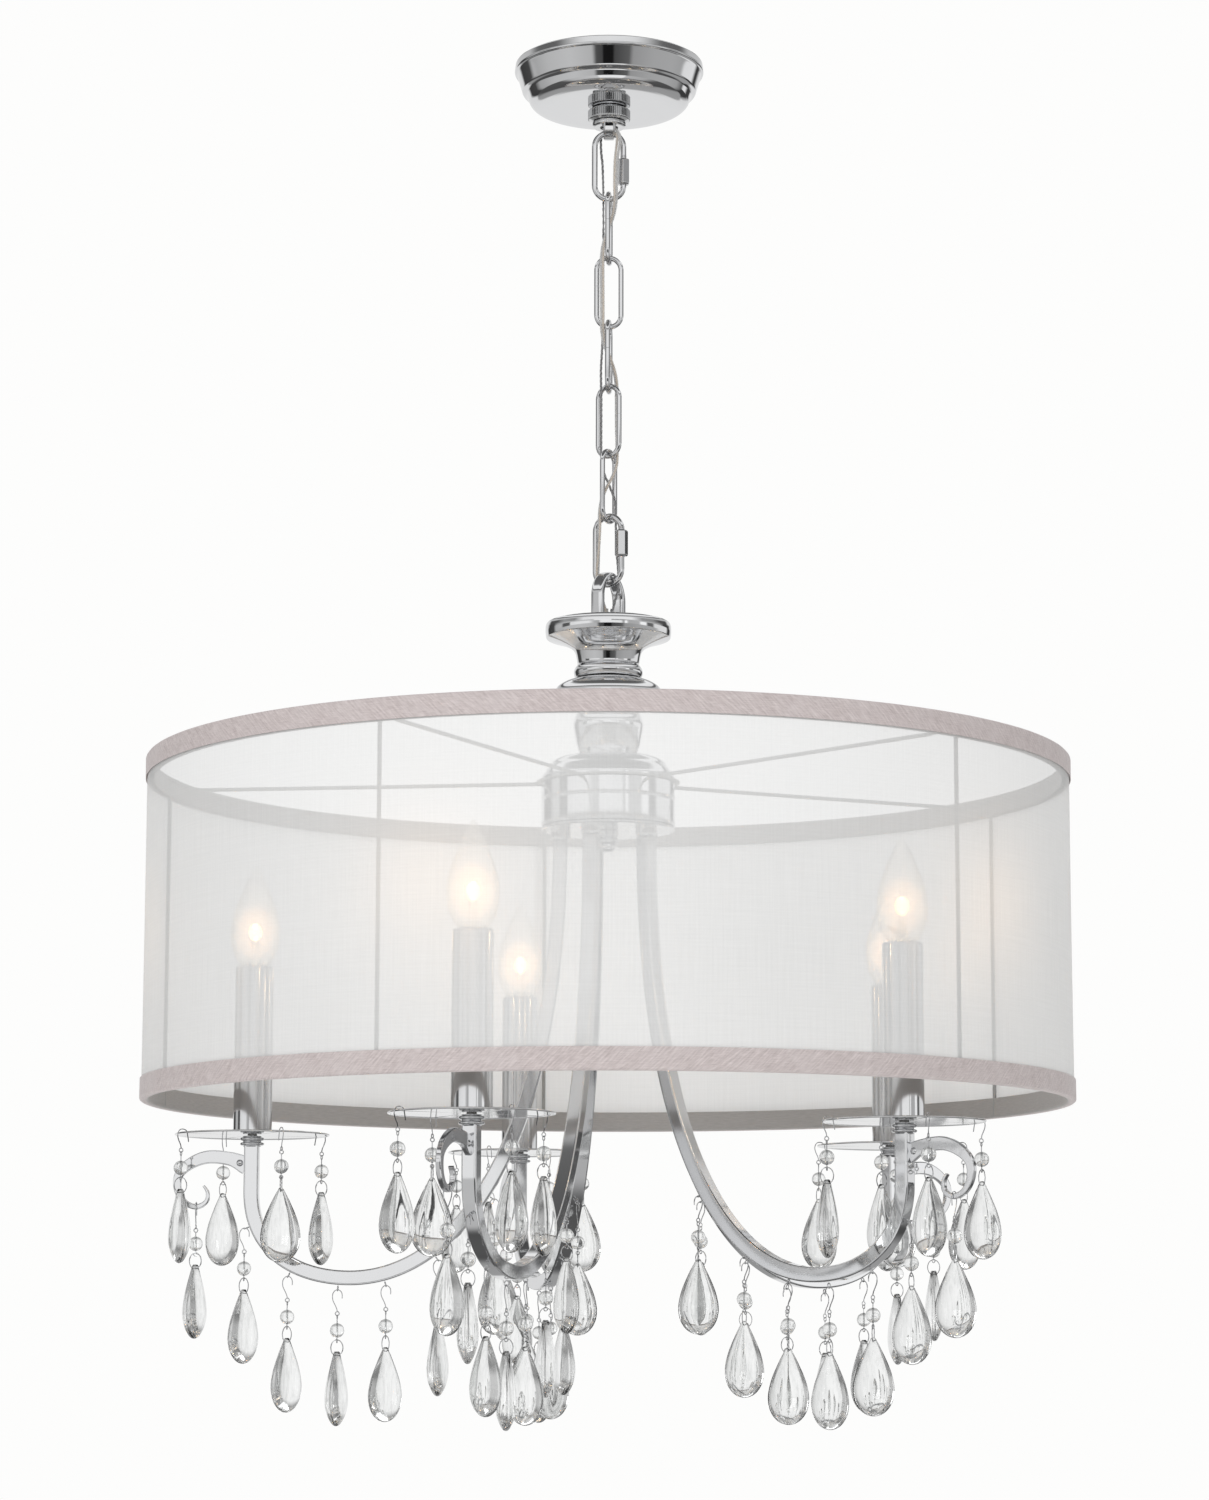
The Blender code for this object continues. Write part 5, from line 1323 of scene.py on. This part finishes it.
coat(recipe, "Normal", recipe.raised(recipe.noise(recipe.place(), 700.0), 0.0001, 0.3))
for number, candle in enumerate(candle_places, 1):
    place = (candle.x, candle.y, 0)
    sleeve = spun(f"turned_sleeve_{number}", sleeve_outline, candle_chrome, place, 64, closed=True)
    stands_for(sleeve, f"candle_sleeve_{number}", "fixture")
    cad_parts[f"lamp_holder_{number}"].material_slots[0].material = porcelain

# Bulbs: clear candle bulbs with a nickelled screw base, a glass stem and a glowing coil; they are lit. Round
# the coil sit two painted glow shells, a small bright core and a faint wide halo.
bulb_under = -0.61811
clear_glass, recipe = finish("bulb_glass", Roughness=0.02, IOR=1.46, Specular_IOR_Level=0.7)
# The glass is painted darker and made more opaque towards its edges as seen: a painted dark outline standing
# in for reflection.
painted_dark_rim = recipe.node("ShaderNodeLayerWeight", {}, 0.35, output="Facing")
streaks = recipe.noise(recipe.stretched(recipe.place(), 1.0, 1.0, 0.3), 120.0, 2.0)
coat(recipe, "Base_Color", recipe.tint(painted_dark_rim + streaks * 0.05, (0.93, 0.935, 0.93), (0.4, 0.41, 0.41)))
coat(recipe, "Alpha", 0.18 + (painted_dark_rim ** 2.0) * 0.8 + streaks * 0.05)
nickel = chrome_plate("bulb_nickel", (0.62, 0.6, 0.56), 0.22, 0.15)
glow, recipe = finish("lit_coil", Roughness=0.5, Emission_Strength=7.0)
coat(recipe, "Base_Color", (0.9, 0.8, 0.6))
hotter = recipe.noise(recipe.place(), 900.0)
coat(recipe, "Emission_Color", recipe.tint(hotter, (1.0, 0.72, 0.36), (1.0, 0.82, 0.52)))


def glowing(name, strength, core, edge, fade, dense):
    """A painted glow round the coil, as an emitting shell: full in its middle, gone at its rim."""
    material, recipe = finish(name, Roughness=0.6, Emission_Strength=strength)
    facing = recipe.node("ShaderNodeLayerWeight", {}, 0.5, output="Facing")
    coat(recipe, "Base_Color", edge)
    coat(recipe, "Emission_Color", recipe.tint(facing, core, edge))
    coat(recipe, "Alpha", ((1 - facing) ** fade) * dense)
    return material


# Painted glow: a small bright core and a faint wide halo round the coil, emitting shells that are no real
# parts.
painted_core_glow = glowing("painted_glow_core", 1.6, (1.0, 0.9, 0.7), (1.0, 0.64, 0.32), 1.8, 0.97)
painted_halo_glow = glowing("warm_glow", 0.9, (1.0, 0.8, 0.58), (1.0, 0.68, 0.42), 1.7, 0.17)
glass_outline = eased([
    (0.0068, 0.0002), (0.01, 0.003, 0.002), (0.0145, 0.01, 0.005), (0.0165, 0.024, 0.007),
    (0.014, 0.038, 0.007), (0.0082, 0.053, 0.006), (0.003, 0.064, 0.003), (0.001, 0.0672, 0.0005),
    (0.0, 0.0676),
])
screw_outline = eased([
    (0.0, 0.0006), (0.0064, 0.0006, 0.0004), (0.0068, 0.0, 0.0004), (0.0056, -0.0012, 0.0004),
    (0.0055, -0.019, 0.001), (0.003, -0.0205, 0.001), (0.0, -0.021),
])
glass_stem = eased([(0.0045, 0.0008), (0.003, 0.007, 0.003), (0.0022, 0.014, 0.002), (0.0, 0.015)])
coil_radius = 0.0011
coil_foot = 0.019
coil_long = 0.0105
coil_turns = 8
turn_steps = 12
coil_wire = 0.00035
coil_steps = coil_turns * turn_steps
lead_wire = 0.0003
lead_lines = (
    ((-0.0018, 0.0135), (-0.002, 0.018), (-0.0011, 0.0195)),
    ((0.0018, 0.0135), (0.0024, 0.028), (0.0011, 0.0295)),
)
glow_sizes = ((0.0048, 0.0064, painted_core_glow), (0.0138, 0.0185, painted_halo_glow))
glow_middle = 0.024
lamp_power = 0.02
lamp_colour = (1.0, 0.78, 0.5)
lamp_size = 0.008
lamp_height = 0.0245
for number, candle in enumerate(candle_places, 1):
    place = (candle.x, candle.y, bulb_under)
    shell = spun("shell", glass_outline, clear_glass, place, 48)
    base = spun("base", screw_outline, nickel, place, 32)
    stem_piece = spun("stem", glass_stem, clear_glass, place, 20)
    coil_line = []
    for step in range(coil_steps + 1):
        angle = math.tau * step / turn_steps
        x, y = coil_radius * math.cos(angle), coil_radius * math.sin(angle)
        height = bulb_under + coil_foot + coil_long * step / coil_steps
        coil_line.append((candle.x + x, candle.y + y, height))
    coil_piece = drawn("coil", [coil_line], coil_wire, glow, 6)
    leads = drawn("leads", [
        [(candle.x + aside, candle.y, bulb_under + height) for aside, height in line] for line in lead_lines
    ], lead_wire, nickel, 6)
    glows = [
        spun("glow", egg(wide, tall, 16, glow_middle), kind, place, 32) for wide, tall, kind in glow_sizes
    ]
    bulb = merged(f"candle_bulb_{number}", [shell, base, stem_piece, coil_piece, leads, *glows])
    bulb.visible_shadow = False
    stands_for(bulb, f"bulb_{number}", f"lamp_{number}")
    lamp_data = bpy.data.lights.new(f"bulb_light_{number}", "POINT")
    lamp_data.energy = lamp_power
    lamp_data.color = lamp_colour
    lamp_data.shadow_soft_size = lamp_size
    bulb_lamp = placed(f"bulb_light_{number}", lamp_data)
    bulb_lamp.location = (candle.x, candle.y, bulb_under + lamp_height)

# Crystal pendants: a bent wire hook, a round cut bead on its pin, a wire ring, and an almond drop, domed
# on both faces inside a thin rim, of clear pressed glass. They hang from arms, pans and scrolls.
crystal, recipe = finish("clear_crystal", IOR=1.52, Transmission_Weight=1.0)
streak_field = recipe.noise(recipe.stretched(recipe.place(), 1.0, 1.0, 0.05), 620.0, 2.0, 0.6)
# Fine upright streaks are painted darker into the glass's colour: painted refraction streaks.
painted_streaks = ((streak_field - 0.38) * 7.0).size() ** 0.6
coat(recipe, "Base_Color", recipe.tint(painted_streaks, (0.76, 0.77, 0.765), (0.945, 0.95, 0.945)))
coat(recipe, "Roughness", 0.008 + recipe.noise(recipe.place(), 160.0, 3.0) * 0.018)
coat(recipe, "Normal", recipe.raised(streak_field, 0.00012, 0.15))
hanger_chrome = chrome_plate("hanger_wire", (0.66, 0.665, 0.675), 0.14, 0.08)
hung_in_place = Pattern("hung_in_place", {"Shape": "NodeSocketObject", "Finish": "NodeSocketMaterial"})
turning = hung_in_place.link("GeometryNodeInputNamedAttribute", {"data_type": "FLOAT_VECTOR"}, {
    "Name": "turning",
})
heading = hung_in_place.link("FunctionNodeEulerToRotation", {}, {"Euler": turning})
shape = hung_in_place.link("GeometryNodeObjectInfo", {}, {
    "Object": hung_in_place.take("Shape"),
}, output="Geometry")
hung_in_place.end(hung_in_place.link("GeometryNodeInstanceOnPoints", {}, {
    "Points": hung_in_place.take("Guide"), "Instance": shape, "Rotation": heading,
}))


def hung(name, shape_object, places, material, crease=40):
    """One shape at many places; each place is (point, turn about Z in radians)."""
    guide = bpy.data.meshes.new(name)
    guide.from_pydata([tuple(point) for point, turn in places], [], [])
    attribute = guide.attributes.new("turning", "FLOAT_VECTOR", "POINT")
    for item, (point, turn) in zip(attribute.data, places):
        item.vector = (0.0, 0.0, turn)
    return grown(hung_in_place, name, guide, crease, Shape=shape_object, Finish=material)


def ring_of(radius, centre, across, steps=10, tall=None):
    """A closed small loop in the upright plane of a level direction."""
    tall = tall or radius
    loop = []
    for step in range(steps + 1):
        angle = math.tau * step / steps
        reach = radius * math.cos(angle)
        height = centre[2] + tall * math.sin(angle)
        loop.append((centre[0] + across[0] * reach, centre[1] + across[1] * reach, height))
    return loop


eye_radius = 0.0013
pin_eye_radius = 0.0012
hanger_radius = 0.00034


def hook_shape(name, bend, bead, across=(1, 0)):
    """A hook with the eye that ends its bend, and the pin through its bead with an eye at each end; sizes
    in millimetres from where it hangs."""
    other_way = (across[1], -across[0])
    foot = bend[-1][2]

    def below(height):
        return 0.0, 0.0, height / 1000

    return drawn(name, [
        flowing([[value / 1000 for value in point] for point in bend], 3),
        ring_of(eye_radius, below(foot - 1.3), across),
        ring_of(eye_radius, below(foot - 3.5), other_way),
        [below(foot - 4.8), below(bead - 5.6)],
        ring_of(pin_eye_radius, below(bead - 6.8), other_way),
    ], hanger_radius, hanger_chrome, 6)


long_bead, pan_bead = -25.8, -23.4
arm_hook = hook_shape("arm_hook", [
    (-3.0, 0, -5.2), (-3.1, 0, -3.0), (-2.6, 0, -1.1), (-1.4, 0, 0.05), (0, 0, 0.45), (1.6, 0, -0.1),
    (2.9, 0, -1.8), (3.3, 0, -4.0), (2.9, 0, -6.5), (1.6, 0, -9.2), (0.5, 0, -11.6), (0, 0, -13.6),
], long_bead)
pan_hook = hook_shape("pan_hook", [
    (-5.1, 0, -6.4), (-4.7, 0, -3.8), (-4.2, 0, -1.2), (-3.9, 0, 0.2), (-2.6, 0, 1.4), (-0.6, 0, 1.8),
    (1.3, 0, 1.1), (2.4, 0, -1.0), (2.4, 0, -3.4), (1.5, 0, -6.0), (0.4, 0, -8.4), (0, 0, -10.6),
], pan_bead)
scroll_hook = hook_shape("scroll_hook", [
    (0, -2.5, -7.4), (0, -2.7, -4.0), (0, -2.5, -1.0), (0, -1.3, 0.8), (0, 0, 1.15), (0, 1.3, 0.8),
    (0, 2.5, -1.0), (0, 2.6, -4.0), (0, 2.1, -7.0), (0, 1.1, -10.0), (0, 0.2, -12.2), (0, 0, -13.6),
], long_bead, (0, 1))
joining_line = ring_of(0.0042, (0, 0, -0.0112), (0, 1), 18, 0.0052)
joining_ring = drawn("joining_ring", [joining_line], hanger_radius, hanger_chrome, 6)
bead_radius = 0.0047
bead_shape = spun("bead", [
    (0.0005, 0.00466), *egg(bead_radius, bead_radius, 14)[1:-1], (0.0005, -0.00466), (0.0005, -0.0044),
    (0.0005, 0.0044),
], crystal, sides=20, closed=True)
drop_half_wide = 0.013
drop_half_thick = 0.0065
drop_long = 0.0479
drop_crease = 58
bead_to_drop = 0.0135
drop_rows = flowing((
    (0.0, 0.06, 0.22), (0.012, 0.11, 0.3), (0.045, 0.18, 0.36), (0.1, 0.29, 0.44),
    (0.17, 0.425, 0.55), (0.25, 0.565, 0.67), (0.34, 0.715, 0.79), (0.43, 0.84, 0.89),
    (0.52, 0.93, 0.96), (0.6, 0.985, 1.0), (0.66, 1.0, 1.0), (0.72, 0.985, 0.97), (0.78, 0.94, 0.9),
    (0.835, 0.865, 0.79), (0.885, 0.76, 0.66), (0.93, 0.62, 0.51), (0.965, 0.455, 0.37),
    (0.988, 0.275, 0.24), (1.0, 0.09, 0.09),
), 2)
quarter = (
    (1.0, 0.0), (0.996, 0.07), (0.985, 0.13), (0.945, 0.18), (0.922, 0.24), (0.9, 0.34), (0.857, 0.47),
    (0.8, 0.58), (0.72, 0.7), (0.63, 0.79), (0.53, 0.87), (0.42, 0.93), (0.31, 0.965), (0.2, 0.985),
    (0.1, 0.997), (0.0, 1.0),
)
drop_round = [
    *quarter, *((-across, out) for across, out in quarter[-2::-1]),
    *((-across, -out) for across, out in quarter[1:]), *((across, -out) for across, out in quarter[-2:0:-1]),
]
corners = []
for down, wide_share, thick_share in drop_rows:
    wide, thick = drop_half_wide * wide_share, drop_half_thick * thick_share
    corners += [(wide * across, thick * out, -drop_long * down) for across, out in drop_round]
size = len(drop_round)
drop_shape = solid("drop", corners, ends(len(drop_rows), size) + skin(len(drop_rows), size)[0], crystal)
arm_drop_turns = (
    (20, 65, 30, 80, 15, 50), (12, 25, 8, 30, 18, 40), (60, 15, 75, 35, 55, 20), (40, 70, 25, 60, 10, 75),
    (53, 51, 77, 40, 81, 45),
)
pan_drop_turns = ((15, 35, 70, 10), (10, 25, 60, 35), (45, 20, 75, 30), (65, 30, 15, 50), (85, 60, 40, 35))
scroll_drop_turns = (70, 20, 50, 35, 75)
hook_circle = 0.0497
scroll_hang = Vector((0.26964, 0, -0.77287))


def pendants(label, hook, places, bead, node, body):
    """Hooks, rings, beads and drops of one group; a place is (point, turn, the drop's own turn)."""
    down = Vector((0, 0, bead / 1000))
    lower = Vector((0, 0, -bead_to_drop))
    hanging = [(point, turn) for point, turn, own in places]
    level = [(point + down, turn + own) for point, turn, own in places]
    hooks = hung("hooks", hook, hanging, hanger_chrome)
    rings = hung("rings", joining_ring, level, hanger_chrome)
    beads = hung("beads", bead_shape, level, crystal)
    drops = hung("drops", drop_shape, [(point + lower, turn) for point, turn in level], crystal, drop_crease)
    stands_for(merged("hangers_" + label, [hooks, rings]), node, body)
    stands_for(merged("crystals_" + label, [beads, drops]), node, body)


for index, turn in enumerate(arm_turns):
    number = index + 1
    around = about_z(turn)
    facing_out = math.radians(turn)
    pendants(f"arm_{number}", arm_hook, [
        (around @ Vector((place.x, 0, place.y)), facing_out, math.radians(own))
        for place, own in zip(hook_places, arm_drop_turns[index])
    ], long_bead, f"arm_{number}", "fixture")
    pan_places = []
    for step, own in enumerate(pan_drop_turns[index]):
        angle = facing_out + math.radians(pan_turns[index] + 90 * step)
        hole = Vector((hook_circle * math.cos(angle), hook_circle * math.sin(angle), pan_top))
        pan_places.append((candle_places[index] + hole, angle, math.radians(own)))
    pendants(f"pan_{number}", pan_hook, pan_places, pan_bead, f"pan_{number}", "fixture")
    swinging = [(around @ scroll_hang, facing_out, math.radians(scroll_drop_turns[index]))]
    pendants(
        f"scroll_{number}", scroll_hook, swinging, long_bead, f"scroll_pendant_{number}",
        f"pendant_{number}",
    )
for piece in (arm_hook, pan_hook, scroll_hook, joining_ring, bead_shape, drop_shape):
    bpy.data.objects.remove(piece, do_unlink=True)
